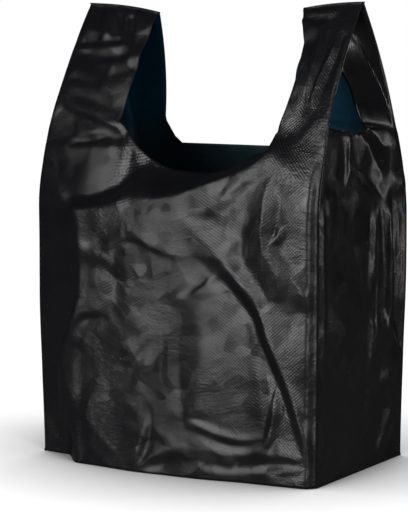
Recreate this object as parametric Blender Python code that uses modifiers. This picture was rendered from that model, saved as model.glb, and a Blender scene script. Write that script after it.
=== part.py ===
"""Black carrier bag of thin film, standing open.

The bag starts as one open tube of film, as the real one does. The tube is a cylinder primitive whose
columns run up the film and whose rings run round it. Two straps for each handle are extruded from its
upper edge, and every vertex is then laid where the standing bag has it. A wall is grown outwards, and a
welded bar closes the top of each handle. X runs along the front panel, the front faces -Y, Z is up.
"""
import math

import bmesh
import bpy
from mathutils import Vector
from mathutils.geometry import delaunay_2d_cdt

# Sizes of the standing bag, in metres
WIDTH = 0.305
DEPTH = 0.175
HEIGHT = 0.440
SHOULDER = 0.240
FILM = 0.0006

# Welded bar across the top of each handle
SEAL_HEIGHT = 0.007
SEAL_DROP = 0.009
SEAL_OVERHANG = 0.0004
LAYER_GAP = 0.0006
FOLD_RADIUS = 0.0007

# Inner edges of the handle straps, measured from the middle of the bag
LEFT_CROTCH_X = 0.073
LEFT_SEAL_X = 0.072
RIGHT_CROTCH_X = 0.101
RIGHT_SEAL_X = 0.088
BACK_LEFT_CROTCH_X = 0.108
BACK_RIGHT_CROTCH_X = 0.09

# Heights of the cut edges
SLOT_Z = 0.318
LEFT_CROTCH_Z = 0.328
RIGHT_CROTCH_Z = 0.322
BACK_CROTCH_Z = 0.324
BACK_RIM_Z = 0.299
SLOT_WIDTH = 0.026

# How far the back panel bows out
BACK_BOW = 0.008

# Columns of film in each stretch, and rings up the body and the handles
FRONT_STRAP_COLUMNS = 8
MOUTH_COLUMNS = 18
RIGHT_GUSSET_COLUMNS = 6
LEFT_GUSSET_COLUMNS = 4
SLOT_COLUMNS = 2
BACK_STRAP_COLUMNS = 4
BACK_MOUTH_COLUMNS = 6
BODY_RINGS = 22
BROW_RINGS = 5
HANDLE_RINGS = 11

HALF_WIDTH = WIDTH / 2
HALF_DEPTH = DEPTH / 2
FLAP_Y = LAYER_GAP / 2 + FILM
STRAP_Y = FLAP_Y + 2 * FOLD_RADIUS
SLOT_SHARE = SLOT_WIDTH / DEPTH

# The guides below are short lists of places and values. A place along a panel is a share of its half
# width, from -1 at the left fold to 1 at the right one, and a place up the bag is a height in metres.

# How far the front panel bows out beyond its corner folds
FRONT_BOW = [(-1.0, 0.0215), (-0.6, 0.024), (-0.37, 0.026), (-0.18, 0.0265), (0.07, 0.023), (0.29, 0.0185),
             (0.53, 0.015), (0.72, 0.012), (0.93, 0.0095), (0.95, 0.0085), (1.0, 0.0)]
# The upright crease at the left of the front panel, by height: its place, and how far its foot stands out
LEFT_CREASE = [(0.0, -0.83), (0.028, -0.8), (0.076, -0.81), (0.111, -0.78), (0.131, -0.72), (0.156, -0.66),
               (0.193, -0.64), (0.225, -0.65), (0.24, -0.67), (0.257, -0.75), (0.285, -0.83), (0.32, -0.88)]
LEFT_FOOT = [(0.0, -0.002), (0.05, 0.0), (0.11, 0.004), (0.15, 0.011), (0.2, 0.015), (0.235, 0.013),
             (0.285, 0.0)]
# How quickly the panel steps forward from that crease: the step's share of the half width
LEFT_RISER = 0.09
STEEP_SHARE = 0.7
# The brow, where the front panel folds back into the mouth
BROW_Z = [(-1.0, 0.285), (-0.7, 0.285), (-0.5, 0.266), (-0.31, 0.255), (0.0, 0.260), (0.24, 0.272),
          (0.51, 0.288), (0.66, 0.300), (1.0, 0.262)]
BROW_LEAN = [(-0.7, 0.0), (-0.35, 0.022), (0.0, 0.032), (0.25, 0.028), (0.5, 0.010), (0.66, 0.0)]
LEAN_FADE = 0.04
# The cut edge of the front panel between the handles
FRONT_RIM_Z = [(-0.48, 0.328), (-0.42, 0.319), (-0.35, 0.309), (-0.23, 0.295), (-0.05, 0.282),
               (0.13, 0.281), (0.22, 0.284), (0.49, 0.300), (0.61, 0.307), (0.66, 0.322)]
RIM_CORNER = 0.1
BACK_RIM_DROP = [(0.0, 0.0), (RIM_CORNER, 1.0)]
# How the inner edge of the right front strap wanders between its crotch and its seal
RIGHT_STRAP_SWING = [(0.0, 0.0), (0.2, 0.006), (0.45, 0.012), (0.68, 0.002), (1.0, 0.0)]

# Free edges of the gusset halves beside the slot, up the handle from cut (0) to seal (1): the place
# from the outer fold (0) to the weld's inner end (1), and the place as a share of the bag's half depth
FRONT_FLAP_X = [(0.0, 0.0), (0.07, 0.28), (0.16, 0.62), (0.4, 0.78), (0.7, 0.84), (1.0, 0.9)]
FRONT_FLAP_Y = [(0.0, 0.15), (0.07, 0.7), (0.16, 0.85), (0.5, 0.85), (1.0, 0.0)]
BACK_FLAP_X = [(0.0, 0.0), (0.2, 0.04), (0.38, 0.23), (0.52, 0.36), (0.78, 0.6), (1.0, 0.94)]
BACK_FLAP_Y = [(0.0, 0.15), (0.2, 0.0), (1.0, 0.0)]

# How far the body's corners stand off the plain box, by height: which side and end, how far along and
# across the bag that reaches as a share of half its width and depth, and the shift to the side and the back
CORNER_SHIFTS = [
    (-1, -1, 0.36, 0.69,
     [(0.0, -0.006), (0.08, -0.009), (0.16, -0.012), (0.25, -0.011), (0.32, -0.005), (0.4, 0.0)],
     [(0.0, 0.01), (0.1, 0.011), (0.2, 0.012), (0.28, 0.008), (0.35, 0.0)]),
    (1, 1, 0.39, 0.69,
     [(0.0, 0.0), (0.1, 0.002), (0.19, 0.0045), (0.25, 0.004), (0.3, 0.002), (0.34, 0.0)],
     [(0.0, 0.0), (0.35, 0.0)]),
]

# Creases of the front panel. Each is a line of points: the place as a share of the half width, the height,
# and how far the film stands out there. Flat facets join the lines.
FRONT_CREASES = [
    # long crest from the middle to the lower right corner
    [
        (0.15, 0.241, 0.0015), (0.42, 0.204, 0.008), (0.61, 0.173, 0.009), (0.7, 0.138, 0.009),
        (0.74, 0.120, 0.008), (0.83, 0.080, 0.006), (0.92, 0.038, 0.003), (0.99, 0.013, 0),
    ],
    # its foot
    [
        (0.09, 0.235, 0), (0.31, 0.202, -0.002), (0.47, 0.178, -0.0025), (0.58, 0.155, -0.0025),
        (0.65, 0.129, -0.0025), (0.74, 0.093, -0.002), (0.86, 0.051, -0.0015), (0.96, 0.018, -0.001),
    ],
    # upright groove left of the bulge
    [
        (0.2, 0.164, -0.001), (0.18, 0.148, -0.0025), (0.18, 0.120, -0.003), (0.17, 0.092, -0.003),
        (0.18, 0.068, -0.0025), (0.19, 0.063, -0.001),
    ],
    # its right lip
    [
        (0.28, 0.165, 0.001), (0.28, 0.140, 0.0015), (0.28, 0.112, 0.001), (0.26, 0.084, 0.001),
        (0.26, 0.065, 0.0005),
    ],
    # its left lip
    [
        (0.11, 0.166, 0.0008), (0.11, 0.129, 0.0014), (0.11, 0.092, 0.001), (0.1, 0.065, 0.0005),
    ],
    # fan crest
    [
        (0.62, 0.290, 0.001), (0.51, 0.277, 0.0025), (0.41, 0.261, 0.0025), (0.28, 0.250, 0.0015),
        (0.18, 0.249, 0),
    ],
    # fan foot
    [
        (0.73, 0.287, 0), (0.65, 0.281, -0.001), (0.55, 0.269, -0.0012), (0.45, 0.252, -0.001),
        (0.3, 0.242, -0.001), (0.21, 0.242, 0),
    ],
    # left groove of the dark facet
    [
        (0.63, 0.273, 0), (0.56, 0.252, -0.0005), (0.53, 0.229, -0.001), (0.52, 0.209, -0.001),
    ],
    # upright crest
    [
        (0.71, 0.280, 0.001), (0.68, 0.267, 0.003), (0.68, 0.251, 0.005), (0.68, 0.233, 0.0055),
        (0.68, 0.216, 0.005),
    ],
    # right foot of the upright crest
    [
        (0.75, 0.282, 0), (0.78, 0.263, -0.0005), (0.77, 0.243, -0.0005), (0.74, 0.229, -0.0005),
        (0.7, 0.217, 0.0045),
    ],
    # crest down to the right
    [
        (0.68, 0.216, 0.005), (0.74, 0.205, 0.005), (0.78, 0.193, 0.005), (0.79, 0.180, 0.004),
    ],
    # groove under the dark facet
    [
        (0.52, 0.209, -0.001), (0.59, 0.196, 0.0005), (0.67, 0.181, 0.0015), (0.71, 0.168, 0.002),
    ],
    # crest to the small apex
    [
        (0.68, 0.216, 0.005), (0.78, 0.207, 0.0035), (0.86, 0.195, 0.0025), (0.94, 0.178, 0.003),
    ],
    # upper swag groove
    [
        (0.16, 0.056, 0), (0.24, 0.057, -0.0005), (0.37, 0.050, -0.001), (0.45, 0.047, -0.001),
        (0.54, 0.046, -0.001), (0.65, 0.049, -0.0006), (0.68, 0.061, 0),
    ],
    # upper swag crest
    [
        (0.19, 0.061, 0.0012), (0.24, 0.053, 0.0016), (0.35, 0.047, 0.0016), (0.43, 0.042, 0.0016),
        (0.5, 0.040, 0.0016), (0.6, 0.040, 0.0015), (0.69, 0.045, 0.0012),
    ],
    # lower swag crest
    [
        (0.21, 0.030, 0.0006), (0.3, 0.030, 0.001), (0.47, 0.027, 0.0016), (0.58, 0.028, 0.0018),
        (0.65, 0.033, 0.002), (0.71, 0.039, 0.0024), (0.75, 0.066, 0.0028), (0.75, 0.079, 0.0015),
    ],
    # first undercut crest
    [
        (-0.19, 0.003, 0.0005), (-0.09, 0.014, 0.0015), (-0.02, 0.020, 0.0022), (0.11, 0.027, 0.0026),
        (0.21, 0.030, 0.0006),
    ],
    # first undercut groove
    [
        (-0.07, 0.007, -0.001), (0.08, 0.013, -0.0018), (0.25, 0.016, -0.002), (0.39, 0.013, -0.0015),
        (0.47, 0.012, -0.0005),
    ],
    # second undercut crest
    [
        (0.49, 0.025, 0.0016), (0.64, 0.030, 0.002), (0.79, 0.029, 0.0016), (0.9, 0.026, 0.0012),
        (0.94, 0.024, 0.0005),
    ],
    # second undercut groove
    [
        (0.52, 0.014, -0.001), (0.66, 0.018, -0.0018), (0.84, 0.021, -0.0018), (0.93, 0.021, -0.001),
    ],
    # left pocket crest
    [
        (-0.43, 0.210, 0.0005), (-0.37, 0.210, 0.0012), (-0.28, 0.220, 0.0028), (-0.19, 0.224, 0.0032),
        (-0.14, 0.221, 0.0034), (-0.07, 0.215, 0.003), (0.07, 0.208, 0.002), (0.12, 0.206, 0.0008),
    ],
    # left pocket foot
    [
        (-0.43, 0.207, -0.0003), (-0.36, 0.206, -0.001), (-0.31, 0.211, -0.0016), (-0.25, 0.216, -0.002),
        (-0.14, 0.214, -0.002), (-0.07, 0.210, -0.0016), (0.03, 0.205, -0.001), (0.11, 0.203, 0),
    ],
    # left upright groove
    [
        (-0.33, 0.205, -0.0016), (-0.32, 0.185, -0.0022), (-0.32, 0.162, -0.0018),
        (-0.31, 0.143, -0.0004),
    ],
    # left upright crest
    [
        (-0.25, 0.212, 0.0012), (-0.24, 0.196, 0.002), (-0.23, 0.172, 0.002), (-0.22, 0.150, 0.0008),
    ],
    # arch lip
    [
        (-0.73, 0.117, 0), (-0.71, 0.129, 0.001), (-0.64, 0.141, 0.0018), (-0.55, 0.147, 0.002),
        (-0.47, 0.149, 0.002), (-0.41, 0.158, 0.001),
    ],
    # arch foot
    [
        (-0.68, 0.116, -0.0005), (-0.66, 0.127, -0.0016), (-0.58, 0.137, -0.002), (-0.51, 0.142, -0.002),
        (-0.45, 0.144, -0.0016), (-0.39, 0.152, -0.0005),
    ],
    # arch bulge
    [
        (-0.57, 0.119, 0.001), (-0.5, 0.130, 0.0016), (-0.42, 0.134, 0.0016), (-0.35, 0.141, 0.0006),
    ],
    # wedge crest
    [
        (-0.09, 0.052, 0.0005), (-0.11, 0.038, 0.002), (-0.15, 0.022, 0.0024), (-0.19, 0.007, 0.001),
    ],
    # wedge foot
    [
        (-0.07, 0.051, -0.0004), (-0.08, 0.036, -0.0014), (-0.1, 0.022, -0.0016), (-0.14, 0.010, -0.001),
    ],
    # lower bulge
    [
        (0.43, 0.169, 0.001), (0.43, 0.142, 0.0015), (0.46, 0.106, 0.0015), (0.43, 0.068, 0.001),
    ],
    # hem crest
    [
        (0.29, 0.007, 0.0005), (0.52, 0.008, 0.0012), (0.68, 0.012, 0.0015), (0.72, 0.011, 0.0015),
        (0.83, 0.014, 0.001),
    ],
]
# Creases of the front straps, in the same form
STRAP_CREASES = [
    # fold strip top
    [
        (-0.85, 0.345, 0.001), (-0.74, 0.339, 0.0018), (-0.64, 0.333, 0.0018), (-0.57, 0.329, 0.0016),
        (-0.52, 0.327, 0.0012),
    ],
    # fold strip lower edge
    [
        (-0.92, 0.340, 0.0003), (-0.83, 0.333, 0.0008), (-0.73, 0.328, 0.0008), (-0.62, 0.322, 0.0008),
        (-0.54, 0.320, 0.0008), (-0.49, 0.318, 0.0006),
    ],
    # recess under the strip
    [
        (-0.89, 0.329, -0.0005), (-0.76, 0.317, -0.0025), (-0.64, 0.311, -0.004), (-0.54, 0.308, -0.004),
        (-0.47, 0.310, -0.003),
    ],
    # broad facet foot
    [
        (-0.82, 0.265, 0), (-0.71, 0.256, 0.0008), (-0.55, 0.255, 0.0022), (-0.48, 0.261, 0.0026),
        (-0.47, 0.273, 0.0022),
    ],
    # facet right edge
    [
        (-0.5, 0.303, 0.0014), (-0.5, 0.294, 0.0018), (-0.5, 0.284, 0.0024),
    ],
    # groove beside it
    [
        (-0.48, 0.300, -0.0008), (-0.48, 0.291, -0.0012), (-0.47, 0.281, -0.001),
    ],
    # light band top
    [
        (-0.87, 0.411, 0.0016), (-0.74, 0.408, 0.0014), (-0.64, 0.406, 0.001),
    ],
    # light band foot
    [
        (-1, 0.398, -0.0008), (-0.83, 0.400, -0.0008), (-0.73, 0.402, -0.0008), (-0.66, 0.404, -0.0006),
    ],
    # triangle crest
    [
        (-0.98, 0.396, 0.0006), (-0.81, 0.398, 0.0008), (-0.61, 0.401, 0.0008),
    ],
    # triangle foot
    [
        (-0.88, 0.392, -0.0003), (-0.77, 0.388, -0.0006), (-0.66, 0.388, -0.0006),
        (-0.56, 0.391, -0.0004),
    ],
    # stripe crest
    [
        (0.76, 0.420, 0.0016), (0.79, 0.403, 0.0016), (0.8, 0.387, 0.0016), (0.79, 0.350, 0.0012),
        (0.75, 0.338, 0.0008), (0.71, 0.327, 0.0005),
    ],
    # band groove
    [
        (0.81, 0.423, -0.0008), (0.83, 0.404, -0.001), (0.85, 0.385, -0.0012), (0.83, 0.350, -0.0012),
        (0.79, 0.335, -0.001), (0.74, 0.320, -0.0008),
    ],
    # thin ridge
    [
        (0.91, 0.414, 0.0006), (0.9, 0.398, 0.0014), (0.87, 0.382, 0.0014), (0.85, 0.368, 0.0012),
        (0.83, 0.352, 0.0006),
    ],
    # ridge far side
    [
        (0.94, 0.407, -0.0004), (0.94, 0.391, -0.0008), (0.92, 0.373, -0.0008), (0.9, 0.359, -0.0006),
    ],
    # dark band foot
    [
        (0.74, 0.309, 0.0006), (0.83, 0.315, 0.0012), (0.89, 0.327, 0.0014), (0.96, 0.338, 0.0008),
    ],
    # dark band mid
    [
        (0.72, 0.317, -0.0005), (0.81, 0.325, -0.001), (0.88, 0.339, -0.001),
    ],
]
# Creases of each gusset, from -1 at the front fold to 1 at the back fold
GUSSET_CREASES = [
    # pocket rim
    [
        (-0.39, 0.321, 0.003), (-0.38, 0.305, 0.003), (-0.37, 0.289, 0.0025), (-0.08, 0.276, 0.0015),
        (0.18, 0.264, 0.0015), (0.47, 0.253, 0.001), (0.65, 0.262, 0),
    ],
    # pocket lip
    [
        (-0.27, 0.322, -0.011), (0, 0.322, -0.014), (0.23, 0.322, -0.012),
    ],
    # pocket floor
    [
        (-0.29, 0.304, -0.008), (-0.27, 0.293, -0.005), (-0.02, 0.285, -0.005), (0.21, 0.275, -0.005),
        (0.41, 0.265, -0.004),
    ],
    # pocket right
    [
        (0.45, 0.310, 0), (0.57, 0.296, -0.001), (0.63, 0.280, -0.001), (0.63, 0.268, 0),
    ],
    # pocket right floor
    [
        (0.34, 0.309, -0.008), (0.46, 0.294, -0.007), (0.54, 0.278, -0.004),
    ],
    # light facet top
    [
        (0.51, 0.305, 0.001), (0.67, 0.306, 0.003), (0.82, 0.307, 0.004),
    ],
    # light facet foot
    [
        (0.66, 0.278, 0), (0.81, 0.271, 0.002), (0.91, 0.267, 0.003),
    ],
    # back groove
    [
        (0.63, 0.267, 0), (0.67, 0.253, -0.002), (0.71, 0.214, -0.003), (0.77, 0.175, -0.003),
        (0.78, 0.136, -0.0025), (0.86, 0.108, -0.001), (0.9, 0.102, 0),
    ],
    # long highlight crest
    [
        (0.5, 0.251, 0.001), (0.59, 0.239, 0.0025), (0.63, 0.215, 0.003), (0.66, 0.186, 0.003),
        (0.66, 0.157, 0.0025), (0.67, 0.135, 0.002),
    ],
    # long highlight foot
    [
        (0.39, 0.249, 0), (0.48, 0.216, -0.0005), (0.51, 0.177, -0.0005), (0.53, 0.148, -0.0005),
    ],
    # bright patch
    [
        (0.67, 0.132, 0.002), (0.82, 0.111, 0.004), (0.9, 0.101, 0.0035),
    ],
    # bright patch foot
    [
        (0.45, 0.089, -0.001), (0.69, 0.092, 0), (0.94, 0.099, 0.001),
    ],
    # upright crest a
    [
        (0.29, 0.244, 0), (0.3, 0.232, 0.0014), (0.27, 0.213, 0.0014), (0.27, 0.189, 0.0012),
        (0.25, 0.172, 0),
    ],
    # upright crest a foot
    [
        (0.21, 0.243, -0.0006), (0.19, 0.213, -0.0008), (0.15, 0.175, -0.0006),
    ],
    # diagonal ridge
    [
        (0.11, 0.164, 0), (-0.11, 0.151, 0.001), (-0.33, 0.137, 0.0012), (-0.54, 0.123, 0.001),
        (-0.73, 0.105, 0),
    ],
    # diagonal foot
    [
        (0.19, 0.154, -0.0005), (-0.05, 0.141, -0.0008), (-0.31, 0.127, -0.0008),
        (-0.53, 0.108, -0.0005),
    ],
]
# Points at which the facets end flush with the panel, as a share of the half width and a height
FRONT_EDGE = [
    (-1, 0.0), (-0.6, 0.0), (-0.2, 0.0), (0.2, 0.0), (0.6, 0.0), (1, 0.0), (-1, 0.1), (-1, 0.2), (-1, 0.3),
    (1, 0.1), (1, 0.2), (1, 0.3), (-0.83, 0.04), (-0.82, 0.08), (-0.73, 0.13), (-0.66, 0.17), (-0.65, 0.2),
    (-0.66, 0.23), (0.96, 0.06), (0.96, 0.1), (0.96, 0.14), (0.96, 0.18), (0.96, 0.22), (0.96, 0.26),
    (-0.79, 0.262), (-0.62, 0.25), (-0.39, 0.255), (-0.2, 0.26), (0.0, 0.266), (0.2, 0.278), (0.39, 0.29),
    (0.59, 0.303), (0.79, 0.3), (0.92, 0.29),
]
STRAP_EDGE = [
    (-0.48, 0.434), (-0.75, 0.434), (-1, 0.434), (0.57, 0.434), (0.8, 0.434), (1, 0.434), (-0.41, 0.25),
    (-0.41, 0.3), (-0.41, 0.35), (-0.41, 0.4), (-1.01, 0.25), (-1.01, 0.3), (-1.01, 0.35), (-1.01, 0.4),
    (0.41, 0.25), (0.41, 0.3), (0.41, 0.35), (0.41, 0.4), (1.01, 0.25), (1.01, 0.3), (1.01, 0.35), (1.01, 0.4),
]
GUSSET_EDGE = [
    (-1, 0.0), (-0.5, 0.0), (0, 0.0), (0.5, 0.0), (1, 0.0), (-1, 0.08), (-1, 0.16), (-1, 0.24), (-1, 0.32),
    (1, 0.08), (1, 0.16), (1, 0.24), (1, 0.32), (-0.7, 0.322), (0.7, 0.322),
]
BACK_FOLDS = [
    (-0.005, 0.020, [(-0.70, 0.260), (-0.20, 0.150), (-0.30, 0.030)]),
    (0.005, 0.020, [(0.75, 0.280), (0.35, 0.190), (0.45, 0.040)]),
    (0.005, 0.024, [(-0.20, 0.285), (0.05, 0.230), (0.0, 0.060)]),
]
# Stretches over which a shape fades out: beside an outer fold, and up the first part of a handle
EDGE_FADE = 0.05
BACK_EDGE_FADE = 0.08
FLAP_TURN = 0.15
# How the straps lean together, and how the rings crowd towards the foot of a handle
LEAN_POWER = 1.8
RING_POWER = 1.25
# Points of a crease net closer than this are one point
SAME_SPOT = 0.0003
# Cuts along the welded bar of a handle, which let it droop
SEAL_CUTS = 5


def smooth(value):
    """Eases from 0 to 1 while the value runs from 0 to 1."""
    share = min(max(value, 0.0), 1.0)
    return share * share * (3 - 2 * share)


def blend(start, end, share):
    """The value that lies the given share of the way from start to end."""
    return start + (end - start) * share


def along(guide, place):
    """Reads a guide of (place, value) pairs, eased from each pair to the next."""
    if place <= guide[0][0]:
        return guide[0][1]
    for (place_a, value_a), (place_b, value_b) in zip(guide, guide[1:]):
        if place <= place_b:
            return blend(value_a, value_b, smooth((place - place_a) / (place_b - place_a)))
    return guide[-1][1]


def distance_to(line, across, up):
    """The shortest distance from a point of a panel to a fold line, both in metres."""
    nearest = math.inf
    for (ax, az), (bx, bz) in zip(line, line[1:]):
        run, rise = bx - ax, bz - az
        share = ((across - ax) * run + (up - az) * rise) / (run * run + rise * rise)
        share = min(max(share, 0.0), 1.0)
        nearest = min(nearest, math.hypot(across - ax - run * share, up - az - rise * share))
    return nearest


def relief(folds, half_span, share, height):
    """How far the folds push a point of a panel outwards."""
    total = 0.0
    for fold_height, half_width, line in folds:
        real_line = [(place * half_span, up) for place, up in line]
        distance = distance_to(real_line, share * half_span, height)
        total += fold_height * (1 - smooth(distance / half_width))
    return total


def make_net(creases, edge, half_span):
    """Joins crease lines and edge points into flat triangles, each corner being (across, up, height)."""
    points = [(place * half_span, up, height) for line in creases for place, up, height in line]
    links = []
    first = 0
    for line in creases:
        links += [(number, number + 1) for number in range(first, first + len(line) - 1)]
        first += len(line)
    points += [(place * half_span, up, 0.0) for place, up in edge]
    spots, _, triangles, sources, _, _ = delaunay_2d_cdt(
        [Vector((across, up)) for across, up, height in points], links, [], 0, SAME_SPOT
    )
    corners = []
    for spot, source in zip(spots, sources):
        near = [points[number] for number in source if number < len(points)]
        if not near:
            near = sorted(points, key=lambda point: math.hypot(point[0] - spot.x, point[1] - spot.y))[:2]
        corners.append((spot.x, spot.y, sum(point[2] for point in near) / len(near)))
    return [[corners[number] for number in triangle] for triangle in triangles]


def read_net(net, across, up):
    """How far a net of facets pushes a point of its panel outwards."""
    for (ax, az, ah), (bx, bz, bh), (cx, cz, ch) in net:
        double = (bx - ax) * (cz - az) - (cx - ax) * (bz - az)
        share_b = ((across - ax) * (cz - az) - (cx - ax) * (up - az)) / double
        share_c = ((bx - ax) * (up - az) - (across - ax) * (bz - az)) / double
        if share_b >= 0 and share_c >= 0 and share_b + share_c <= 1:
            return ah + (bh - ah) * share_b + (ch - ah) * share_c
    return 0.0


FRONT_NET = make_net(FRONT_CREASES, FRONT_EDGE, HALF_WIDTH)
STRAP_NET = make_net(STRAP_CREASES, STRAP_EDGE, HALF_WIDTH)
GUSSET_NET = make_net(GUSSET_CREASES, GUSSET_EDGE, HALF_DEPTH)


def make_columns():
    """Lays out the columns of film round the tube, as (panel, place), and notes where stretches begin."""
    left, right = -LEFT_CROTCH_X / HALF_WIDTH, RIGHT_CROTCH_X / HALF_WIDTH
    back_left, back_right = -BACK_LEFT_CROTCH_X / HALF_WIDTH, BACK_RIGHT_CROTCH_X / HALF_WIDTH
    stretches = [
        ("front left strap", "front", FRONT_STRAP_COLUMNS, -1, left),
        ("front mouth", "front", MOUTH_COLUMNS, left, right),
        ("front right strap", "front", FRONT_STRAP_COLUMNS, right, 1),
        ("right front flap", "right", RIGHT_GUSSET_COLUMNS, -1, -SLOT_SHARE),
        ("right slot", "right", SLOT_COLUMNS, -SLOT_SHARE, SLOT_SHARE),
        ("right back flap", "right", RIGHT_GUSSET_COLUMNS, SLOT_SHARE, 1),
        ("back right strap", "back", BACK_STRAP_COLUMNS, 1, back_right),
        ("back mouth", "back", BACK_MOUTH_COLUMNS, back_right, back_left),
        ("back left strap", "back", BACK_STRAP_COLUMNS, back_left, -1),
        ("left back flap", "left", LEFT_GUSSET_COLUMNS, 1, SLOT_SHARE),
        ("left slot", "left", SLOT_COLUMNS, SLOT_SHARE, -SLOT_SHARE),
        ("left front flap", "left", LEFT_GUSSET_COLUMNS, -SLOT_SHARE, -1),
    ]
    columns = []
    starts = {}
    for name, panel, count, start, end in stretches:
        starts[name] = len(columns)
        radius = FOLD_RADIUS / (HALF_WIDTH if panel in ("front", "back") else HALF_DEPTH)
        places = [blend(start, end, index / count) for index in range(count)]
        if name == "back mouth":
            places.insert(1, start * (1 - RIM_CORNER))
            places.append(end * (1 - RIM_CORNER))
        if abs(start) == 1:
            places.insert(1, start * (1 - radius))
        if abs(end) == 1:
            places.append(end * (1 - radius))
        columns += [(panel, place) for place in places]
    starts["end"] = len(columns)
    return columns, starts


COLUMNS, STARTS = make_columns()

# Each half handle: its side, whether it is a front one, and its columns at the slot, fold and mouth
HALF_HANDLES = [
    (1, True, STARTS["right slot"], STARTS["right front flap"], STARTS["front right strap"]),
    (1, False, STARTS["right back flap"], STARTS["back right strap"], STARTS["back mouth"]),
    (-1, False, STARTS["left slot"], STARTS["left back flap"], STARTS["back left strap"]),
    (-1, True, STARTS["left front flap"], STARTS["end"], STARTS["end"] + STARTS["front mouth"]),
]


def seal_top(across):
    """The height of the handle's welded top edge, which droops towards its inner end."""
    reach = (HALF_WIDTH - abs(across)) / (HALF_WIDTH - LEFT_SEAL_X)
    return HEIGHT - SEAL_DROP * min(max(reach, 0.0), 1.0) ** 2


def corner_depth(height, top):
    """Half the depth of the bag at a height: full below the shoulder, closed at the seal."""
    share = min(max((height - SHOULDER) / (top - SEAL_HEIGHT - SHOULDER), 0.0), 1.0)
    return STRAP_Y + (HALF_DEPTH - STRAP_Y) * (1 - share ** LEAN_POWER)


def cut_height(panel, place):
    """The height of the body's upper edge, where the mouth is cut or the handles begin."""
    if panel == "back":
        crotch = (BACK_RIGHT_CROTCH_X if place > 0 else BACK_LEFT_CROTCH_X) / HALF_WIDTH
        if abs(place) < crotch:
            return blend(BACK_CROTCH_Z, BACK_RIM_Z, along(BACK_RIM_DROP, 1 - abs(place) / crotch))
        return blend(SLOT_Z, BACK_CROTCH_Z, (1 - abs(place)) / (1 - crotch))
    if panel == "front":
        left, right = LEFT_CROTCH_X / HALF_WIDTH, RIGHT_CROTCH_X / HALF_WIDTH
        if place < -left:
            return blend(SLOT_Z, LEFT_CROTCH_Z, (1 + place) / (1 - left))
        if place > right:
            return blend(SLOT_Z, RIGHT_CROTCH_Z, (1 - place) / (1 - right))
        return along(FRONT_RIM_Z, place)
    return SLOT_Z


def front_point(place, across, height, depth):
    """A point of the front panel or of a front strap."""
    crease, foot = along(LEFT_CREASE, height), along(LEFT_FOOT, height)
    if place <= crease:
        step = 0.0
        bow = foot * (place + 1) / (crease + 1)
    else:
        step = min((place - crease) / LEFT_RISER, 1.0)
        bow = blend(foot, along(FRONT_BOW, place), blend(step, smooth(3 * step), STEEP_SHARE))
    brow = along(BROW_Z, place)
    cut = cut_height("front", place)
    lean = smooth((height - brow) / (cut - brow))
    set_back = along(BROW_LEAN, place) * lean * (1 - smooth((height - cut) / LEAN_FADE))
    folds = read_net(FRONT_NET, place * HALF_WIDTH, height) * step * smooth((1 - abs(place)) / EDGE_FADE)
    pleats = read_net(STRAP_NET, across, height)
    return across, set_back - depth - (bow + folds) * (1 - lean) - pleats, height


def back_point(place, across, height, depth):
    """A point of the back panel or of a back strap."""
    bow = BACK_BOW * (1 - place * place)
    folds = relief(BACK_FOLDS, HALF_WIDTH, place, height) * smooth((1 - abs(place)) / BACK_EDGE_FADE)
    above = smooth((height - SHOULDER) / (BACK_RIM_Z - SHOULDER))
    return across, depth + (bow + folds) * (1 - above), height


def gusset_point(side, place, height, depth):
    """A point of the right (side 1) or left (side -1) gusset below its slot."""
    folds = read_net(GUSSET_NET, place * HALF_DEPTH, height) * smooth((1 - abs(place)) / EDGE_FADE)
    return side * (HALF_WIDTH + folds), place * depth, height


def shift_corner(spot):
    """Moves a point with the corner folds near it, which stand a little off the plain box."""
    x, y, height = spot
    move_x, move_y = 0.0, 0.0
    for side, end, reach_x, reach_y, guide_x, guide_y in CORNER_SHIFTS:
        near_x = min(max(1 - (1 - side * x / HALF_WIDTH) / reach_x, 0.0), 1.0)
        near_y = min(max(1 - (1 - end * y / HALF_DEPTH) / reach_y, 0.0), 1.0)
        move_x += near_x * near_y * along(guide_x, height)
        move_y += near_x * near_y * along(guide_y, height)
    return x + move_x, y + move_y, height


def body_point(column, ring):
    """Where a vertex of the tube lies on the standing bag's body."""
    panel, place = COLUMNS[column]
    if panel == "front":
        brow = along(BROW_Z, place)
    elif panel == "back":
        brow = SHOULDER
    else:
        brow = blend(along(BROW_Z, 1 if panel == "right" else -1), SHOULDER, (place + 1) / 2)
    if ring <= BODY_RINGS:
        height = brow * ring / BODY_RINGS
    else:
        height = blend(brow, cut_height(panel, place), (ring - BODY_RINGS) / BROW_RINGS)
    depth = corner_depth(height, HEIGHT)
    if panel == "front":
        return front_point(place, place * HALF_WIDTH, height, depth)
    if panel == "back":
        return back_point(place, place * HALF_WIDTH, height, depth)
    return gusset_point(1 if panel == "right" else -1, place, height, depth)


def seal_end(side):
    """The place of the inner end of a handle's weld."""
    return LEFT_SEAL_X if side < 0 else RIGHT_SEAL_X


def strap_edge(side, front, rise):
    """The place of a strap's inner edge, at a share of the handle's height."""
    if not front:
        return blend(BACK_RIGHT_CROTCH_X if side > 0 else BACK_LEFT_CROTCH_X, seal_end(side), rise)
    if side < 0:
        return blend(LEFT_CROTCH_X, LEFT_SEAL_X, rise)
    return blend(RIGHT_CROTCH_X, RIGHT_SEAL_X, rise) + along(RIGHT_STRAP_SWING, rise)


def handle_point(column, ring):
    """Where a vertex of a handle lies, ring 0 being on the body's upper edge."""
    side, front, slot, fold, mouth = half_handle_of(column)
    panel, place = COLUMNS[column]
    if panel in ("left", "right"):
        return flap_point(side, front, abs(place), ring)
    if abs(place) == 1:
        return flap_point(side, front, 1, ring)
    return strap_point(side, front, abs(place), ring)


def half_handle_of(column):
    """The half handle that a column runs into."""
    for half in HALF_HANDLES:
        if column_after(column, half[2], half[4]) is not None:
            return half
    raise ValueError("this column ends at the mouth")


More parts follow.
